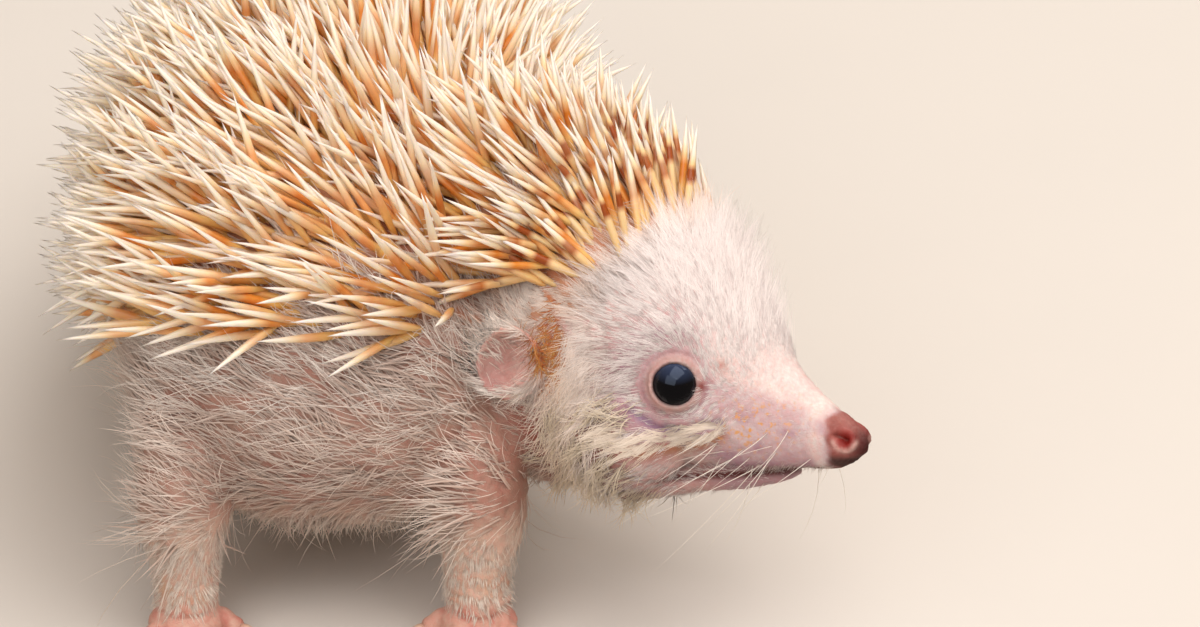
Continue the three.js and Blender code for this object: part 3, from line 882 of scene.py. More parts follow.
    # the legs and the paws
    leg = (1 - ramp(trunk[:, 2], 14, 20)) * (1 - face)
    lay(0.75 * leg, "#D6B6A4")
    paw = 1 - ramp(trunk[:, 2], 4.5, 8)
    lay(0.75 * paw, "#D3A091")
    lay(0.5 * paw * ramp(ripple(co, 3, 28), 0.2, 0.9), "#C6746A")
    wrist = bump(trunk[:, 2] - 8.3, 1.7) * (trunk[:, 0] > 0)
    lay(0.35 * wrist * (up < -10) * ramp(ripple(co, 6, 30), -0.6, 0.6), "#C07A45")
    # reddish-brown in the crease under the head: partly the skin's own red, partly painted shade
    throat = in_head * bump(behind - 40, 5) * (1 - ramp(up, 2, 6)) * ramp(trunk[:, 2], 18, 25)
    lay(0.4 * throat, "#A85A50")
    return colour


def fleck_share(co):
    """Where the snout carries orange flecks."""
    head = into(HEAD, co)
    return bump(-head[:, 0] - 12.5, 5) * bump(head[:, 2] - 1.8, 3.4) * (np.abs(head[:, 1]) > 1)


class Ground:
    """The finished skin as triangles that hair and quills are planted on."""

    def __init__(self, mesh):
        self.co = places_of(mesh)
        self.normal = normals_of(mesh)
        mesh.calc_loop_triangles()
        count = len(mesh.loop_triangles)
        corners, loops = np.zeros(count * 3, int), np.zeros(count * 3, int)
        mesh.loop_triangles.foreach_get("vertices", corners)
        mesh.loop_triangles.foreach_get("loops", loops)
        self.corners, self.loops = corners.reshape(-1, 3), loops.reshape(-1, 3)
        uv = np.zeros(len(mesh.loops) * 2)
        mesh.uv_layers["OFBake"].data.foreach_get("uv", uv)
        self.uv = uv.reshape(-1, 2)
        a, b, c = (self.co[self.corners[:, k]] for k in range(3))
        self.area = np.linalg.norm(np.cross(b - a, c - a), axis=1) / 2
        self.centre = (a + b + c) / 3

    def planted(self, rng, count, density):
        """Roots, normals, unwrap places and triangles, spread by a density for each triangle."""
        weight = np.cumsum(self.area * density)
        chosen = np.searchsorted(weight, rng.random(count) * weight[-1])
        r1, r2 = np.sqrt(rng.random(count)), rng.random(count)
        share = np.stack([1 - r1, r1 * (1 - r2), r1 * r2], 1)[:, :, None]
        root = (self.co[self.corners[chosen]] * share).sum(1)
        normal = unit((self.normal[self.corners[chosen]] * share).sum(1))
        return root, normal, (self.uv[self.loops[chosen]] * share).sum(1), chosen


GROUND = {}                         # the finished skin, and finders of the CAD's quilled solids
LONG = (0, 0.22, 0.48, 0.75, 1)     # the places of the rings along a long lock
MEDIUM = (0, 0.3, 0.65, 1)
SHORT = (0, 0.45, 1)
STIFF = (0, 0.15, 0.32, 0.5, 0.68, 0.85, 1)         # along a whisker
SPINE = (0, 0.14, 0.32, 0.5, 0.68, 0.85, 1)         # along a quill
SPINE_WIDTHS = (0.35, 0.75, 1.0, 0.94, 0.7, 0.38, 0)
QUILL_TRIES = 60000                 # places tried for quills, before they are spaced out
WHISKERS = 34
PIECE_LIMIT = 190000                # triangles in one piece of the coat


def quilled(points):
    """How far each place lies from the quilled solids, in mm."""
    if "tree" not in GROUND:
        trees = []
        for name in ("spiny_back", "spiny_crown"):
            bm = bmesh.new()
            bm.from_mesh(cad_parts[name].data)
            trees.append(BVHTree.FromBMesh(bm))
            bm.free()
        GROUND["tree"] = trees
    found = np.zeros(len(points))
    for i, p in enumerate(points):
        place = Vector(p) * MM
        found[i] = min(tree.find_nearest(place)[3] for tree in GROUND["tree"]) / MM
    return found


def past_hairline(head):
    """How far places in the head's frame lie behind the edge where the crown's quills begin, in mm."""
    return -head[:, 0] - np.interp(np.abs(head[:, 1]), [0, 9, 14, 17], [24.4, 26.2, 32.6, 38])


# ---- quills, hair and claws: a tapering blade, repeated along bent lines ----


def blade(sides, rings):
    """A tapering closed blade: its corners as [place round it, ring], and its faces."""
    bm = bmesh.new()
    ring = bmesh.ops.create_circle(bm, segments=sides, radius=1, cap_ends=True)["verts"]
    base = list(bm.faces)
    edges = list(bm.edges)
    bmesh.ops.reverse_faces(bm, faces=base)
    for _ in range(1, rings):
        grown = bmesh.ops.extrude_edge_only(bm, edges=edges)["geom"]
        ring = [g for g in grown if isinstance(g, bmesh.types.BMVert)]
        edges = [g for g in grown if isinstance(g, bmesh.types.BMEdge)]
        bmesh.ops.translate(bm, verts=ring, vec=(0, 0, 1))
    tip = bm.verts.new((0, 0, rings))
    for edge in edges:
        bm.faces.new((edge.verts[0], edge.verts[1], tip))
    bmesh.ops.recalc_face_normals(bm, faces=bm.faces)
    bm.verts.index_update()
    co = np.array([v.co for v in bm.verts])
    faces = [[v.index for v in f.verts] for f in bm.faces]
    bm.free()
    return co, faces


def grown(name, root, start, end, up, length, width, uv, profile, levels, sides=3, flat=0.6, soft=0.0,
          base=None, **layers):
    """One mesh of blades, each from a root along a line that bends from start to end.

    Soft blades are shaded partly by the body's own roundness, as light spreads through hair. Blades
    with a base colour grow out of it into their own tint.
    """
    corners, faces = blade(sides, len(levels) - 1)
    count = len(root)
    t = np.array(levels)[np.round(corners[:, 2]).astype(int)]
    radius = np.array(profile)[np.round(corners[:, 2]).astype(int)]
    tt = t[None, :, None]
    long = length[:, None, None]
    line = root[:, None, :] + long * (start[:, None, :] * (tt - tt**2 / 2) + end[:, None, :] * tt**2 / 2)
    way = unit(start[:, None, :] * (1 - tt) + end[:, None, :] * tt)
    across = unit(np.cross(up[:, None, :], way))
    over = np.cross(way, across)
    shift = across * corners[None, :, 0:1] + over * corners[None, :, 1:2] * flat
    co = line + shift * (radius[None, :, None] * width[:, None, None] / 2)
    co[:, :, 2] = np.maximum(co[:, :, 2], 0.15)
    sizes = np.array([len(f) for f in faces])
    flat_faces = np.concatenate(faces)
    loops = (np.arange(count)[:, None] * len(corners) + flat_faces[None, :]).ravel()
    first = np.concatenate([[0], np.cumsum(sizes)[:-1]])
    starts = (first[None, :] + np.arange(count)[:, None] * sizes.sum()).ravel()
    mesh = bpy.data.meshes.new(name)
    mesh.vertices.add(count * len(corners))
    mesh.vertices.foreach_set("co", co.astype(np.float32).ravel())
    mesh.loops.add(len(loops))
    mesh.loops.foreach_set("vertex_index", loops)
    mesh.polygons.add(len(starts))
    mesh.polygons.foreach_set("loop_start", starts)
    mesh.update(calc_edges=True)
    number(mesh, "along", np.tile(t, count))
    for key, values in layers.items():
        if values.ndim == 2:
            full = np.repeat(values, len(corners), 0)
            if base is not None:
                share = np.tile(1 - ramp(t, -0.1, 0.5), count)[:, None]
                full = full * (1 - share) + np.repeat(base, len(corners), 0) * share
            paint(mesh, key, full)
        else:
            number(mesh, key, np.repeat(values, len(corners)))
    patch = np.stack([corners[:, 0] * 0.5, t - 0.5], 1)[flat_faces] * 0.003
    layer = mesh.uv_layers.new(name="OFBake")
    layer.data.foreach_set("uv", (uv[:, None, :] + patch[None]).astype(np.float32).ravel())
    if soft:
        shade = unit(shift) * (1 - soft) + up[:, None, :] * soft
        mesh.normals_split_custom_set_from_vertices(unit(shade).reshape(-1, 3))
    return mesh


def gathered(rng, root, start, length, share, spacing):
    """Locks: each hair's way leans towards the tip of the nearest leading hair."""
    leaders = rng.permutation(len(root))[:max(1, int(len(root) / spacing))]
    tree = finder_of(root[leaders])
    nearest = np.array([leaders[tree.find(p)[1]] for p in root])
    aim = root[nearest] + start[nearest] * length[nearest, None]
    return unit(start * (1 - share) + unit(aim - root) * share)


# ---- the way the hair and the quills lie ----


def tangent(direction, normal):
    """Directions laid flat on the skin."""
    return unit(direction - normal * (direction * normal).sum(1, keepdims=True))


def hair_lie(root, normal):
    """The way hair lies along the skin at each root."""
    trunk = into(TRUNK, root)
    behind, side, up = seen(root)
    face = np.stack([-np.ones(len(root)), side * 0.02, 0.25 + 0.02 * up], 1)
    for sign in (1, -1):
        x, y, r, h = eye_view(root, sign)
        near = bump(r, 7.5) * (side * sign > 0)
        lift = np.where(y > 0, 1.1, -0.9) * ramp(x, -4, 3) - 1.2 * ramp(-x, 0, 6)
        face[:, 2] += near * lift
        line = distance_to_line(np.stack([x, y], 1), SWOOSH)
        band = bump(line, 1.5) * (side * sign > 0) * (h > -5)
        slope = np.interp(x, [-8, -5.5, -1, 5, 7.5], [0.7, 0.5, -0.15, -0.55, -0.6])
        face[:, 2] = face[:, 2] * (1 - band) + slope * band
    cheek = (1 - ramp(up, -2, 8)) * ramp(behind, 22, 31)
    face[:, 2] -= 1.1 * cheek
    face[:, 2] -= 1.3 * bump(behind - 39, 3.5) * bump(up - 15.5, 3.0)
    ruff = bump(behind - 35, 5) * (1 - ramp(up, 10, 17))
    face[:, 2] -= 1.6 * ruff
    face[:, 0] += 0.8 * ruff
    face = turned(HEAD_TURN, face)
    source = out_of(HEAD, [[-36, -8, 2]])[0]
    body = unit((root - source) * [1, 1, 0.35])
    body[:, 0] -= 0.25
    body[:, 2] += 0.5 - 1.1 * (1 - ramp(trunk[:, 2], 7, 22))
    belly = ramp(-normal[:, 2], 0.3, 0.8)
    body = body * (1 - belly[:, None]) + np.array([-0.8, 0, -0.5]) * belly[:, None]
    leg = 1 - ramp(trunk[:, 2], 11, 20)
    body = body * (1 - leg[:, None]) + np.array([-0.15, 0, -1.0]) * leg[:, None]
    on_face = ((1 - ramp(behind, 36, 41)) * (np.abs(side) < 20) * (up > -15))[:, None]
    return tangent(unit(face) * on_face + unit(body) * (1 - on_face), normal)


def quill_lie(root, normal):
    """Quills sweep away from the forehead over the whole back."""
    source = out_of(HEAD, [[-22, -9, 12]])[0]
    away = unit(root - source)
    trunk = into(TRUNK, root)
    away[:, 0] -= 0.35 * ramp(-trunk[:, 0], -25, 20)
    away[:, 2] -= 0.12 * (1 - ramp(trunk[:, 2], 20, 34)) * ramp(np.abs(trunk[:, 1]), 18, 32)
    away[:, 2] -= 1.5 * (1 - ramp(trunk[:, 2], 18, 31)) * ramp(np.abs(trunk[:, 1]), 19, 25)
    crown = 1 - ramp(seen(root)[0], 38, 52)
    away += turned(HEAD_TURN, [[-0.42, 0, 0]]) * crown[:, None]
    across = np.cross(normal, away)
    away += across * (0.3 * ripple(root, 16, 51) + 0.15 * ripple(root, 7, 52))[:, None]
    return tangent(away, normal)


# ---- operators ----


class HEDGEHOG_OT_skin(bpy.types.Operator):
    """Build the one skin over head, trunk, legs, ears and tail"""

    bl_idname = "hedgehog.skin"
    bl_label = "Skin"

    def execute(self, context):
        look = context.scene.hedgehog_skin
        grain = look.grain * 1
        forms = joined(skin_forms(), trunk_form())
        mesh = through_modifiers(forms, ("REMESH", {"mode": "VOXEL", "voxel_size": grain}))
        mesh = through_modifiers(mesh, ("SMOOTH", {"factor": 0.5, "iterations": 3}))
        co = places_of(mesh)
        behind, side, _ = seen(co)
        soft = ramp(behind, 27, 33) * ramp(into(TRUNK, co)[:, 2], 5, 9) * (1 - bump(np.abs(side) - 18, 3))
        mesh = through_modifiers(mesh, ("SMOOTH", {"factor": 0.5, "iterations": 22, "weights": soft}))
        co = carve(places_of(mesh), normals_of(mesh))
        co[:, 2] = np.maximum(co[:, 2], 0)
        move_to(mesh, co)
        behind, _, up = seen(co)
        plain = np.where((behind < 30) & (up > -14), 0.0, 1.0)
        spare = plain * (0.35 + 0.65 * ramp(into(TRUNK, co)[:, 2], 6, 30))
        triangles = 2 * len(mesh.polygons)
        fewer = {"ratio": min(1.0, look.faces / triangles), "weights": spare, "vertex_group_factor": 6.0}
        mesh = through_modifiers(mesh, ("DECIMATE", fewer))
        print("skin triangles", triangles, "brought down to", len(mesh.polygons))
        co = places_of(mesh)
        # painted shade: the skin under the quills turns orange-tan, for the warm glow in the shade between
        # them
        painted_quill_shade = 1 - ramp(quilled(co), 1.0, 3.2)
        paint(mesh, "tint", laid(skin_colours(co), 0.8 * painted_quill_shade, srgb("#BC7022")[:3]))
        number(mesh, "fleck", fleck_share(co))
        flesh = ["trunk", "neck", "head", "snout", "nose", "lower_jaw", "tail"]
        for part in ("ear", "foreleg", "forepaw", "hindleg", "hindpaw"):
            flesh += [f"{part}_{side}" for side in SIDES]
        skin = finished("skin", mesh, hide_material(), flesh)
        context.view_layer.objects.active = skin
        skin.select_set(True)
        bpy.ops.object.mode_set(mode="EDIT")
        bpy.ops.mesh.select_all(action="SELECT")
        mesh.uv_layers.new(name="OFBake")
        bpy.ops.uv.smart_project(angle_limit=math.radians(66), island_margin=0.002)
        bpy.ops.object.mode_set(mode="OBJECT")
        skin.select_set(False)
        worker = skin.data.copy()
        worker.transform(Matrix.Scale(1 / MM, 4))
        GROUND["skin"] = Ground(worker)
        bpy.data.meshes.remove(worker)
        return {"FINISHED"}


class HEDGEHOG_OT_eyes(bpy.types.Operator):
    """Build the two eyeballs, each with a slightly raised clear front"""

    bl_idname = "hedgehog.eyes"
    bl_label = "Eyes"

    def execute(self, context):
        material = eye_material()
        for name, side in SIDES.items():
            bm = bmesh.new()
            out = HEAD_TURN @ eye_out(side)
            centre = EYES[name] - out * EYE_SUNK

            def place(p):
                raised = 1 + 0.035 * max(0.0, p.dot(out)) ** 6
                return centre + p * EYE_RADIUS * raised

            ball(bm, place, 64, 48)
            finished("eyeball_" + name, bm, material, ["eye_" + name])
        return {"FINISHED"}


class HEDGEHOG_OT_claws(bpy.types.Operator):
    """Build the claws of the four paws"""

    bl_idname = "hedgehog.claws"
    bl_label = "Claws"

    def execute(self, context):
        roots, ways = [], []
        for *_, toes in all_paws():
            for root, way, long, _ in toes:
                roots.append(TRUNK @ (root + way * long * 0.92 + Vector((0, 0, 1.9))))
                ways.append(TRUNK.to_3x3() @ way)
        root, way = np.array(roots), np.array(ways)
        up = np.tile([0.0, 0.0, 1.0], (len(root), 1))
        mesh = grown(
            "claws", root, unit(way + up * 0.15), unit(way - up * 0.75), up, np.full(len(root), 3.3),
            np.full(len(root), 1.15), np.linspace(0.1, 0.9, len(root))[:, None] * [[1, 0]] + [[0, 0.5]],
            [1, 0.95, 0.8, 0.5, 0], [0, 0.3, 0.6, 0.85, 1], sides=10, flat=0.8,
        )
        finished("claws", mesh, claw_material())
        return {"FINISHED"}


class HEDGEHOG_OT_quills(bpy.types.Operator):
    """Plant the quills of the back and the crown"""

    bl_idname = "hedgehog.quills"
    bl_label = "Quills"

    def execute(self, context):
        look = context.scene.hedgehog_quills
        rng = np.random.default_rng(7)
        ground = GROUND["skin"]
        upper = ramp(ground.centre[:, 2], 11, 14)
        root, normal, uv, _ = ground.planted(rng, QUILL_TRIES, upper)
        spacing = look.spacing * (0.84 + 0.16 * ramp(seen(root)[0], 38, 50))
        kept = self.spread(root, spacing)
        root, normal, uv = root[kept], normal[kept], uv[kept]
        kept = self.wanted(rng, root)
        root, normal, uv = root[kept], normal[kept], uv[kept]
        kept = self.in_company(root)
        root, normal, uv = root[kept], normal[kept], uv[kept]
        count = len(root)
        trunk = into(TRUNK, root)
        ahead, beside, height = trunk[:, 0], np.abs(trunk[:, 1]), trunk[:, 2]
        behind, side, _ = seen(root)
        crown = 1 - ramp(behind, 40, 50)
        lowest = 1 - ramp(height, 14, 34)
        shoulder = ramp(ahead, -25, 12) * (1 - crown)
        front = (1 - ramp(behind, 28, 38)) * ramp(np.abs(side), 2, 8)
        ridge = (1 - ramp(behind, 30, 38)) * (1 - front)
        rise = 1.0 - 0.4 * shoulder - 0.5 * lowest - 0.6 * front - 0.3 * ridge
        rise -= 0.4 * ramp(beside, 17, 23) * (1 - ramp(height, 20, 32))
        rise += 0.2 * (1 - 0.6 * lowest * shoulder) * rng.normal(size=count)
        loose = 0.13 + 0.07 * ramp(height, 20, 34)
        loose += 0.14 * ramp(height, 30, 50) * ramp(behind, 32, 42)
        stray = np.clip(rng.normal(size=(count, 3)), -1.6, 1.6) * loose[:, None]
        start = unit(quill_lie(root, normal) + normal * rise[:, None] + stray)
        drop = np.maximum(ramp(-ahead, -5, 25), ramp(beside, 18, 24))
        start[:, 2] = np.maximum(start[:, 2], -0.06 - 0.9 * drop)
        start = unit(start)
        end = unit(start - normal * 0.12 + rng.normal(size=(count, 3)) * 0.05)
        length = look.length * (0.86 + 0.22 * rng.random(count)) * (1 - 0.18 * crown)
        width = look.width * (0.85 + 0.3 * rng.random(count)) * (1 - 0.08 * crown)
        tone = rng.random(count)
        band = np.clip(0.15 + 0.85 * rng.random(count) + 0.2 * crown, 0, 1)
        deep = 1.3 * (1 - ramp(behind, 32, 46)) * rng.random(count)
        deep = np.clip(deep + 0.3 * rng.random(count) ** 3, 0, 1)
        material = quill_material(look)
        order = np.argsort(ahead + 0.35 * trunk[:, 1])
        names = ["quills_rump", "quills_back", "quills_shoulders", "quills_crown"]
        for name, part in zip(names, np.array_split(order, len(names))):
            mesh = grown(
                name, root[part] - normal[part] * 0.7, start[part], end[part], normal[part], length[part],
                width[part], uv[part], SPINE_WIDTHS, SPINE, sides=5, flat=0.95, tone=tone[part],
                band=band[part], deep=deep[part],
            )
            nodes = {"quills_back": ["spiny_back"], "quills_crown": ["spiny_crown"]}.get(name, [])
            finished(name, mesh, material, nodes)
        print("quills", count)
        return {"FINISHED"}

    def wanted(self, rng, root):
        """Which roots lie where quills grow: near the CAD's quilled solids, behind the hairline."""
        trunk = into(TRUNK, root)
        ahead, beside, height = trunk[:, 0], np.abs(trunk[:, 1]), trunk[:, 2]
        behind, side, up = seen(root)
        reach = 1.9 + 1.3 * ramp(beside, 18, 34) + 2.2 * ramp(behind, 30, 36) * ramp(height, 34, 40)
        reach += 3.0 * (1 - ramp(behind, 31, 37)) * (up > 17)
        reach -= 0.7 * ramp(ahead, -8, 6) * (1 - ramp(height, 34, 40)) * (1 - ramp(beside, 26, 30))
        reach += 7.0 * ramp(beside, 19, 24.5) * (1 - ramp(height, 24, 32)) * (1 - ramp(ahead, -4, 8))
        keep = quilled(root) < reach + 0.5 * rng.random(len(root))
        keep &= (behind > 46) | (np.abs(side) < 8) | (up > 16.5 + 1.0 * rng.random(len(root)))
        keep &= past_hairline(into(HEAD, root)) > 0.8 * rng.random(len(root))
        for sign in (1, -1):
            ear = into(HEAD, root) - mirrored(EAR_PLACE, sign)
            keep &= np.linalg.norm(ear, axis=1) > 9
        return keep

    def in_company(self, root):
        """Which roots have others near them, as no quill stands alone."""
        tree = finder_of(root)
        return np.array([len(tree.find_range(p, 3.2)) for p in root]) > 7

    def spread(self, root, spacing):
        """The roots that stand at least a spacing apart."""
        cells, kept = {}, []
        grid = np.floor(root / spacing.max()).astype(int)
        steps = [(i, j, k) for i in (-1, 0, 1) for j in (-1, 0, 1) for k in (-1, 0, 1)]
        for i, (p, cell) in enumerate(zip(root, map(tuple, grid))):
            near = (cells.get((cell[0] + a, cell[1] + b, cell[2] + c), ()) for a, b, c in steps)
            if all(((p - root[q]) ** 2).sum() > spacing[i] ** 2 for group in near for q in group):
                cells.setdefault(cell, []).append(i)
                kept.append(i)
        return np.array(kept)


def hair_colours(root, under, rng):
    """The colour of the hair at each root: white on the face, cream on the trunk, tan by the quills, partly
    as painted warm shade, and lighter high on the flanks as painted light.
    """
    look = bpy.context.scene.hedgehog_hair
    height = into(TRUNK, root)[:, 2]
    behind, side, up = seen(root)
    on_face = (1 - ramp(behind, 33, 40)) * (up > -14)
    colour = laid(np.array([look.cream]), on_face, look.white)

    def lay(share, hex_colour):
        nonlocal colour
        colour = laid(colour, share, srgb(hex_colour)[:3])

    lay(0.8 * ramp(behind, 24, 31) * (1 - ramp(up, 8, 18)) * on_face, "#EFD5C2")
    lay(0.8 * bump(behind - 36, 3.5) * (1 - ramp(up, 8, 14)) * (np.abs(side) > 8), "#F6D2AC")
    lay(bump(behind - 37, 2.2) * bump(up - 10, 4.5) * (np.abs(side) > 12), "#A8500E")
    lay(0.5 * (1 - ramp(behind + 0.7 * (up - 5), 10, 19)), "#EBD6D2")
    # tan near the quills: partly the hair's own colour, partly painted warm shade under their edge
    lay((1 - ramp(under, 1.5, 6)) * (0.35 + 0.2 * on_face), "#E3AE80")
    # painted light: lighter hair high on the flanks, under the quills' shadow
    lay(0.7 * ramp(height, 25, 36) * (1 - on_face), "#FFF3E8")
    lay(0.7 * (1 - ramp(height, 14, 22)) * (1 - on_face), "#EAD3BF")
    return np.clip(colour * (0.76 + 0.34 * rng.random((len(root), 1))), 0, 1)


class HEDGEHOG_OT_hair(bpy.types.Operator):
    """Plant the hair of the face, the trunk and the legs, and the whiskers"""

    bl_idname = "hedgehog.hair"
    bl_label = "Hair"

    def plant(self, name, count, density, length, rise, droop, seed, width=1.0, stray=0.16, lock=0.5,
              levels=MEDIUM, curl=0.0, crowd=7, stain=None, share=0.0, sheer=False, rooted=0.35):
        """Hair of one kind, in as many pieces as keep each under the limit on triangles.

        Sheer hair is so fine that light passes it without a shadow. A stain is laid over its colour by
        a share. Each hair starts in a mix of its own colour, by the share rooted, and the skin's.
        """
        look = bpy.context.scene.hedgehog_hair
        rng = np.random.default_rng(seed)
        ground = GROUND["skin"]
        root, normal, uv, face = ground.planted(rng, count, density(ground.centre))
        lie = hair_lie(root, normal)
        across = np.cross(normal, lie)
        wander = 0.35 * ripple(root, 9, seed + 1) + 0.25 * ripple(root, 3.5, seed + 2)
        lie = unit(lie + across * wander[:, None])
        long = length(root) * (0.7 + 0.6 * rng.random(len(root)))
        start = unit(lie + normal * rise(root)[:, None] + rng.normal(size=root.shape) * stray)
        start = gathered(rng, root, start, long, lock, crowd)
        bend = rng.normal(size=root.shape) * (stray + curl)
        end = unit(start - normal * droop + bend)
        behind, _, up = seen(root)
        finest = 0.65 + 0.35 * ramp(behind + 0.7 * (up - 5), 10, 20)
        wide = look.width * width * finest * (0.7 + 0.6 * rng.random(len(root)))
        profile = [1.0 - 0.85 * t**1.5 for t in levels[:-1]] + [0]
        tint = hair_colours(root, self.under[face], rng)
        if stain:
            tint = tint * (1 - share) + np.array(srgb(stain)[:3]) * share
        base = tint * rooted + skin_colours(root) * (1 - rooted)
        each = 6 * (len(levels) - 2) + 4
        order = np.argsort(root[:, 0] * 0.6 + root[:, 1])
        for i, part in enumerate(np.array_split(order, math.ceil(count * each / PIECE_LIMIT))):
            mesh = grown(
                f"{name}_{i + 1}", root[part] - normal[part] * 0.12, start[part], end[part], normal[part],
                long[part], wide[part], uv[part], profile, list(levels), flat=0.4, soft=0.8, tint=tint[part],
                base=base[part],
            )
            finished(f"{name}_{i + 1}", mesh, self.material).visible_shadow = not sheer

    def execute(self, context):
        look = context.scene.hedgehog_hair
        self.material = hair_material()

        ground = GROUND["skin"]
        facing = unit(ground.normal[ground.corners].sum(1))
        some = ground.centre[::5]
        facing_tree = finder_of(some)

        def normal_at(p):
            return np.array([facing[5 * facing_tree.find(q)[1]] for q in p])

        some = ground.centre[::7]
        covered = quilled(some)
        tree = finder_of(some)
        self.under = np.array([covered[tree.find(p)[1]] for p in ground.centre])
        open_skin = ramp(self.under, 1.0, 2.0)
        head = into(HEAD, ground.centre)
        for sign in (1, -1):
            beside = np.linalg.norm(head - mirrored(EAR_PLACE, sign), axis=1)
            open_skin = np.maximum(open_skin, 1 - ramp(beside, 8, 10))
        crown = ramp(past_hairline(head), -0.3, 2.0) * ramp(head[:, 2], 15.5, 18)
        open_skin *= 1 - 0.88 * crown

        def bare(p):
            """Skin with no hair: the eyes' rims, the nose, the ears' inner face and the soles."""
            behind, side, up = seen(p)
            free = ramp(behind, 5, 8)
            for sign in (1, -1):
                _, _, r, h = eye_view(p, sign)
                free *= np.where((h > -3) & (side * sign > 0), ramp(r, 3.5, 3.9), 1)
                ear = np.linalg.norm(into(HEAD, p) - mirrored(EAR_PLACE, sign), axis=1)
                free *= ramp(ear / 6.2, 0.55, 0.72)
            return free * ramp(into(TRUNK, p)[:, 2], 4.5, 8)

        def on_head(p):
            """The head with its hair, from the nose to the neck."""
            behind, side, up = seen(p)
            return (1 - ramp(behind, 40, 46)) * (np.abs(side) < 22) * (up > -17)

        def on_face(p):
            """The head's short hair, thin on the snout, behind the eyes and on the cheeks."""
            behind, side, up = seen(p)
            thick = 0.12 + 0.88 * ramp(behind + 0.8 * (up - 5), 8, 17)
            for sign in (1, -1):
                x, y, r, h = eye_view(p, sign)
                near = (h > -4) & (side * sign > 0)
                thick *= 1 - 0.72 * bump(r - 6.5, 3) * ramp(-x - 0.3 * y, -1, 3) * near
            thick *= 1 - 0.5 * (1 - ramp(up, 0, 7)) * ramp(behind, 20, 26)
            thick *= 1 - 0.75 * bump(behind - 24, 6) * bump(up + 1.5, 3.5)
            thick *= 1 - 0.97 * ramp(behind, 24, 28) * (1 - ramp(up, 1, 7))
            thick *= 1 - 0.9 * bump(behind - 36.3, 2.0) * bump(up - 9.6, 4.5) * (np.abs(side) > 12)
            return on_head(p) * bare(p) * open_skin * thick

        def leg_share(p):
            """1 on the legs and 0 on the trunk."""
            x, y, z = into(TRUNK, p).T
            off_fore = np.hypot(x - FORE_X + 4, np.abs(y) - FORE_SPREAD)
            off_hind = np.hypot(x - HIND_X - 3, np.abs(y) - HIND_SPREAD)
            near = 1 - ramp(np.minimum(off_fore, off_hind), 7, 11)
            return np.maximum(near * (1 - ramp(z, 13, 18)), 1 - ramp(z, 7, 9))

        def on_trunk(p):
            return (1 - on_head(p)) * bare(p) * open_skin * (1 - leg_share(p))

        def near_quills(p):
            """The trunk's hair, denser along the edge of the quills."""
            return on_trunk(p) * (1 + 0.6 * bump(self.under - 3, 3.5))

        def on_limbs(p):
            return (1 - on_head(p)) * bare(p) * open_skin * leg_share(p)

        def face_length(p):
            """Short on the snout and under the chin, longer on the forehead and the ruff."""
            behind, side, up = seen(p)
            back = ramp(behind + 0.5 * (up - 5), 12, 30)
            under = ramp(-up, 6, 9) * (1 - ramp(behind, 34, 40))
            long = 1.2 + 2.3 * back + 2.3 * ramp(up, 14, 23) + 2.2 * bump(behind - 36, 5) * (up < 12)
            long *= 1 - 0.5 * bump(past_hairline(into(HEAD, p)) + 1, 4) * ramp(up, 10, 15)
            return long * (1 - under) + 1.2 * under

        def face_rise(p):
            """Hair stands up most on the crown and along the middle of the forehead."""
            behind, side, up = seen(p)
            return 0.22 + 0.5 * ramp(up, 20, 27) + 0.5 * bump(side, 5) * ramp(behind, 11, 18)

        def brow(p):
            """The tufted forehead, clear of the eyes."""
            behind, side, up = seen(p)
            found = on_face(p) * ramp(up, 4, 9) * ramp(behind, 12, 16) * (1 - ramp(behind, 31, 35))
            for sign in (1, -1):
                x, y, r, h = eye_view(p, sign)
                found *= np.where((side * sign > 0) & (x > -3), ramp(r, 8, 10), 1)
            return found

        def brow_rise(p):
            """The forehead's tufts stand up along the far outline."""
            behind, side, up = seen(p)
            return face_rise(p) + 0.1 + 0.55 * bump(side - 8, 6) * ramp(behind, 12, 17)

        def cheek(p):
            """The cream locks of the cheeks."""
            behind, side, up = seen(p)
            found = ramp(behind, 23, 27) * (1 - ramp(behind, 38, 41)) * (1 - ramp(up, 2, 7))
            return found * ramp(up, -13, -9) * (np.abs(side) > 6) * bare(p)

        def ruff(p):
            """The ruff of long curling locks behind each cheek."""
            behind, side, up = seen(p)
            low = (1 - ramp(up, 6, 13)) * ramp(up, -14, -9)
            return bump(behind - 34.5, 4.2) * low * (np.abs(side) > 9) * bare(p)

        def beside_ear(p):
            """The rusty tuft ahead of each ear."""
            behind, side, up = seen(p)
            return bump(behind - 36.0, 1.2) * bump(up - 9.6, 3.4) * (np.abs(side) > 12)

        def over_ear(p):
            """The upper and hind half of an ear's hollow."""
            found = np.zeros(len(p))
            for sign in (1, -1):
                x, y, z = (into(HEAD, p) - mirrored(EAR_PLACE, sign)).T
                found += ramp(z - 1.2 * x, -1.5, 2.5) * (np.hypot(x, z) < 5.2) * (np.abs(y) < 5)
            return found

        def wisps(p):
            """Loose long hairs, most of them low on the flanks."""
            z = into(TRUNK, p)[:, 2]
            low = 1 - ramp(z, 14, 24)
            beside = ramp(np.abs(into(TRUNK, p)[:, 1]), 24, 31)
            return on_trunk(p) * (0.25 + low + 2 * low * beside)

        def lip_edge(p):
            """Short bristles along the upper lip."""
            behind, side, up = seen(p)
            line = distance_to_line(np.stack([behind, up - 0.7], 1), MOUTH_LINE)
            return bump(line, 0.45) * ramp(behind, 3, 5) * (1 - ramp(behind, 20, 24)) * (np.abs(side) > 1)

        def trunk_length(p):
            """Long on the flanks and shorter on the belly."""
            down = normal_at(p)[:, 2]
            return (7.6 + 2.2 * ripple(p, 12, 41)) * (1 - 0.5 * ramp(-down, 0.1, 0.7))

        def under_length(p):
            return 0.72 * trunk_length(p)

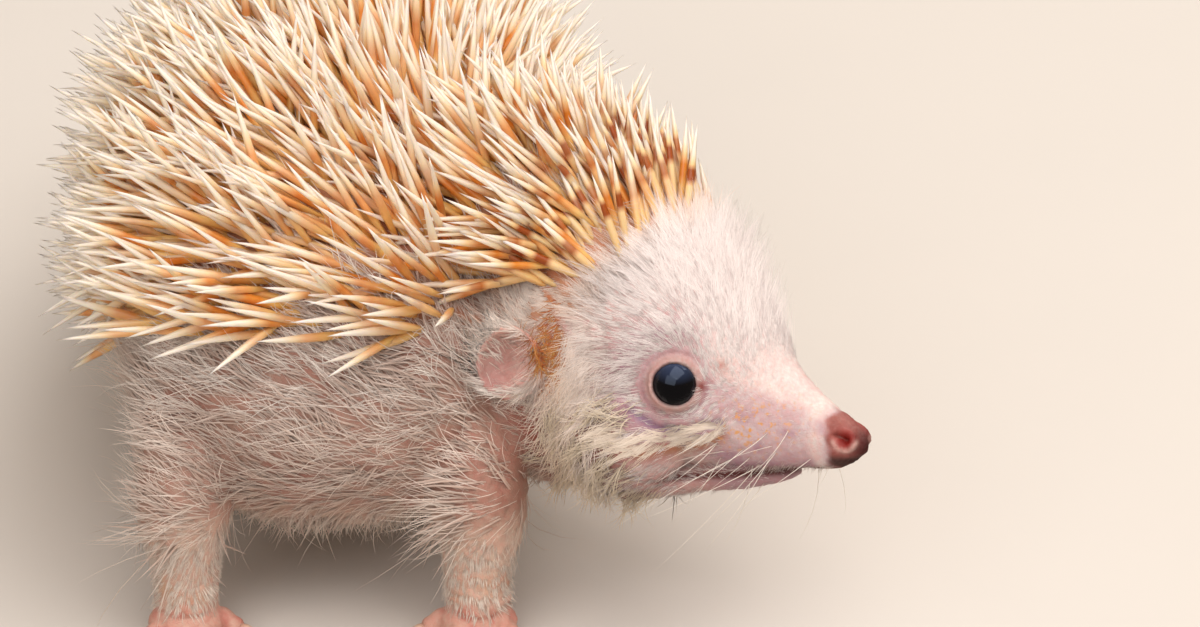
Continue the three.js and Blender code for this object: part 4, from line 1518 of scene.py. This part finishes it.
        def wisp_length(p):
            return 1.3 * trunk_length(p)

        def limb_length(p):
            return 1.8 + 0.4 * ripple(p, 6, 42)

        def even(value):
            """The same value at every root."""
            return lambda p: np.full(len(p), float(value))

        def hairline(p):
            """The strip just ahead of the quills, whose hair hides their roots."""
            head = into(HEAD, p)
            return on_head(p) * bare(p) * bump(past_hairline(head) + 0.6, 1.3) * ramp(head[:, 2], 14, 17)

        def below_eye(p):
            """The band of cream locks under the eye's fold."""
            behind, side, up = seen(p)
            found = np.zeros(len(p))
            for sign in (1, -1):
                x, y, r, h = eye_view(p, sign)
                band = distance_to_line(np.stack([x, y], 1), SWOOSH)
                found += bump(band, 0.85) * (side * sign > 0) * (h > -5)
            return found

        self.plant("hair_face", look.face, on_face, face_length, face_rise, droop=0.3, seed=11, width=0.4,
                   stray=0.1, levels=SHORT, crowd=10, sheer=True)
        self.plant("hair_brow", 3500, brow, even(5.6), brow_rise, droop=0.25, seed=22, width=0.46,
                   lock=0.75, crowd=9, sheer=True)
        self.plant("hair_cheek", 2300, cheek, even(5.0), even(0.42), droop=0.35, seed=23, width=0.58,
                   stray=0.14, lock=0.97, levels=LONG, curl=0.4, crowd=22, stain="#FBE2BC", share=0.8,
                   rooted=0.6)
        self.plant("hair_edge", 1600, hairline, even(2.8), even(0.35), droop=0.1, seed=19, width=0.55,
                   lock=0.4)
        self.plant("hair_swoosh", 1500, below_eye, even(4.4), even(0.34), droop=-0.1, seed=18, width=0.5,
                   stray=0.12, lock=0.9, crowd=16, stain="#FBE2C4", share=0.8, sheer=True, rooted=0.5)
        self.plant("under_fur", look.under, near_quills, under_length, even(0.22), droop=0.2, seed=20,
                   width=1.35, stray=0.22, lock=0.4, levels=SHORT, stain="#CFAC9C", share=0.75)
        self.plant("hair_trunk", look.flank, near_quills, trunk_length, even(0.33), droop=0.15, seed=12,
                   width=0.6, stray=0.22, curl=0.3, crowd=8, sheer=True)
        self.plant("hair_wisps", 2600, wisps, wisp_length, even(0.5), droop=0.2, seed=14, width=0.55,
                   stray=0.32, lock=0.3, levels=LONG, curl=0.5)
        self.plant("hair_ruff", 2000, ruff, even(5), even(0.45), droop=0.5, seed=15, width=0.62, stray=0.2,
                   lock=0.8, levels=LONG, curl=0.7, crowd=12, sheer=True)
        self.plant("hair_ear", 1500, beside_ear, even(2.4), even(0.9), droop=0.1, seed=16, width=0.8,
                   stray=0.6, curl=0.9, stain="#B04E0C", share=0.97, sheer=True, rooted=1.0)
        self.plant("hair_concha", 800, over_ear, even(5.0), even(0.35), droop=0.35, seed=21, width=0.6,
                   stray=0.2, stain="#F3DCCB", share=0.7, sheer=True)
        self.plant("hair_lip", 500, lip_edge, even(1.1), even(0.8), droop=-0.1, seed=17, width=0.5,
                   stray=0.25, lock=0.1, levels=SHORT, stain="#D9C2B8", share=0.7)
        self.plant("hair_limbs", look.limbs, on_limbs, limb_length, even(0.25), droop=0.2, seed=13,
                   width=0.7, stray=0.12, lock=0.3, levels=SHORT, sheer=True)
        self.whiskers()
        return {"FINISHED"}

    def whiskers(self):
        """Long stiff hairs from the sides of the snout, curving back and down."""
        rng = np.random.default_rng(31)
        ground = GROUND["skin"]
        behind, side, up = seen(ground.centre)
        patch = bump(behind - 12, 4) * bump(up + 1.5, 2.2) * (np.abs(side) > 2.5)
        root, normal, uv, _ = ground.planted(rng, WHISKERS, patch)
        start = unit(normal + turned(HEAD_TURN, rng.normal(size=(WHISKERS, 3)) * 0.35 + [-0.5, 0, -0.1]))
        end = unit(start + turned(HEAD_TURN, rng.normal(size=(WHISKERS, 3)) * 0.2 + [-0.9, 0, -0.5]))
        length = rng.uniform(7, 20, WHISKERS)
        white = np.tile(np.array(srgb("#F3EADD")[:3]), (WHISKERS, 1))
        mesh = grown(
            "whiskers", root - normal * 0.1, start, end, normal, length, np.full(WHISKERS, 0.12), uv,
            (1, 0.9, 0.75, 0.6, 0.45, 0.3, 0), STIFF, sides=4, flat=1.0, tint=white,
        )
        finished("whiskers", mesh, self.material)


FLOOR_HALF = 3000                   # mm
SENSOR_WIDTH = 36                   # mm
AIM = (47, 33.4, 42.9)              # ahead and left of the trunk's middle, and above the floor, in mm
FILL_COLOUR, FILL_STRENGTH = "#F6DFC6", 0.25
# the lamps: [name, place from the aim and size in m, power in W, colour, seen in wet surfaces]
LAMPS = (
    ("overhead_softbox", (0.10, 0.15, 0.85), (0.9, 0.8), 6.2, "#FFF6EE", True),
    ("window_left", (0.60, -0.30, 0.60), (0.9, 0.7), 3.6, "#FFFAF6", True),
    ("window_right", (0.50, 0.80, 0.85), (0.8, 0.8), 3.4, "#FFFAF8", False),
    ("rim_back", (-0.6, 0.40, 0.60), (0.7, 0.5), 3.4, "#FFF8F0", True),
)


class HEDGEHOG_OT_stage(bpy.types.Operator):
    """Set the floor, the camera and the soft studio lights"""

    bl_idname = "hedgehog.stage"
    bl_label = "Stage"

    def execute(self, context):
        look = context.scene.hedgehog_stage
        bm = bmesh.new()
        bmesh.ops.create_grid(bm, x_segments=2, y_segments=2, size=FLOOR_HALF)
        mesh = bpy.data.meshes.new("floor")
        bm.to_mesh(mesh)
        bm.free()
        mesh.transform(Matrix.Scale(MM, 4))
        mesh.materials.append(floor_material(look))
        floor = bpy.data.objects.new("floor", mesh)
        context.scene.collection.objects.link(floor)
        floor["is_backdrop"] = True
        floor.visible_glossy = False

        aim = Vector((TRUNK_MIDDLE.x + AIM[0], TRUNK_MIDDLE.y + AIM[1], AIM[2])) * MM
        camera = bpy.data.objects.new("camera", bpy.data.cameras.new("camera"))
        context.scene.collection.objects.link(camera)
        camera.data.sensor_width = SENSOR_WIDTH
        camera.data.lens = look.lens
        camera.data.clip_start = 0.01
        way = Vector((math.cos(look.elevation), 0, math.sin(look.elevation)))
        camera.location = aim + way * look.distance
        camera.rotation_euler = way.to_track_quat("Z", "Y").to_euler()
        context.scene.camera = camera

        for name, place, size, power, colour, glossy in LAMPS:
            light = bpy.data.lights.new(name, "AREA")
            light.shape = "RECTANGLE"
            light.size, light.size_y = size
            light.energy = power
            light.color = srgb(colour)[:3]
            holder = bpy.data.objects.new(name, light)
            holder.location = aim + Vector(place)
            holder.rotation_euler = Vector(place).to_track_quat("Z", "Y").to_euler()
            holder.visible_glossy = glossy
            context.scene.collection.objects.link(holder)
        world = bpy.data.worlds.new("studio")
        world.use_nodes = True
        background = world.node_tree.nodes["Background"]
        background.inputs[0].default_value = srgb(FILL_COLOUR)
        background.inputs[1].default_value = FILL_STRENGTH
        context.scene.world = world
        context.scene.view_settings.view_transform = "Standard"
        return {"FINISHED"}


class HEDGEHOG_PT_panel(bpy.types.Panel):
    """The pieces, their sizes and their colours"""

    bl_idname = "HEDGEHOG_PT_panel"
    bl_label = "Hedgehog"
    bl_space_type = "VIEW_3D"
    bl_region_type = "UI"
    bl_category = "Hedgehog"

    def draw(self, context):
        for operator, group in PIECES:
            box = self.layout.box()
            box.operator(operator.bl_idname)
            settings = getattr(context.scene, group, None)
            for name in type(settings).__annotations__ if settings else ():
                box.prop(settings, name)


GROUPS = {
    "hedgehog_skin": HedgehogSkin,
    "hedgehog_quills": HedgehogQuills,
    "hedgehog_hair": HedgehogHair,
    "hedgehog_stage": HedgehogStage,
}
PIECES = (
    (HEDGEHOG_OT_stage, "hedgehog_stage"),
    (HEDGEHOG_OT_skin, "hedgehog_skin"),
    (HEDGEHOG_OT_eyes, ""),
    (HEDGEHOG_OT_claws, ""),
    (HEDGEHOG_OT_quills, "hedgehog_quills"),
    (HEDGEHOG_OT_hair, "hedgehog_hair"),
)
CLASSES = (*GROUPS.values(), *(operator for operator, _ in PIECES), HEDGEHOG_PT_panel)


def register():
    for cls in CLASSES:
        bpy.utils.register_class(cls)
    for name, group in GROUPS.items():
        setattr(bpy.types.Scene, name, PointerProperty(type=group))


def unregister():
    for name in GROUPS:
        delattr(bpy.types.Scene, name)
    for cls in reversed(CLASSES):
        bpy.utils.unregister_class(cls)


def main():
    register()
    for operator, _ in PIECES:
        group, name = operator.bl_idname.split(".")
        getattr(getattr(bpy.ops, group), name)()
    plain = [[[float(x) for x in corner] for corner in box] for box in (CAD_BOX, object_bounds())]


if __name__ == "__main__":
    main()
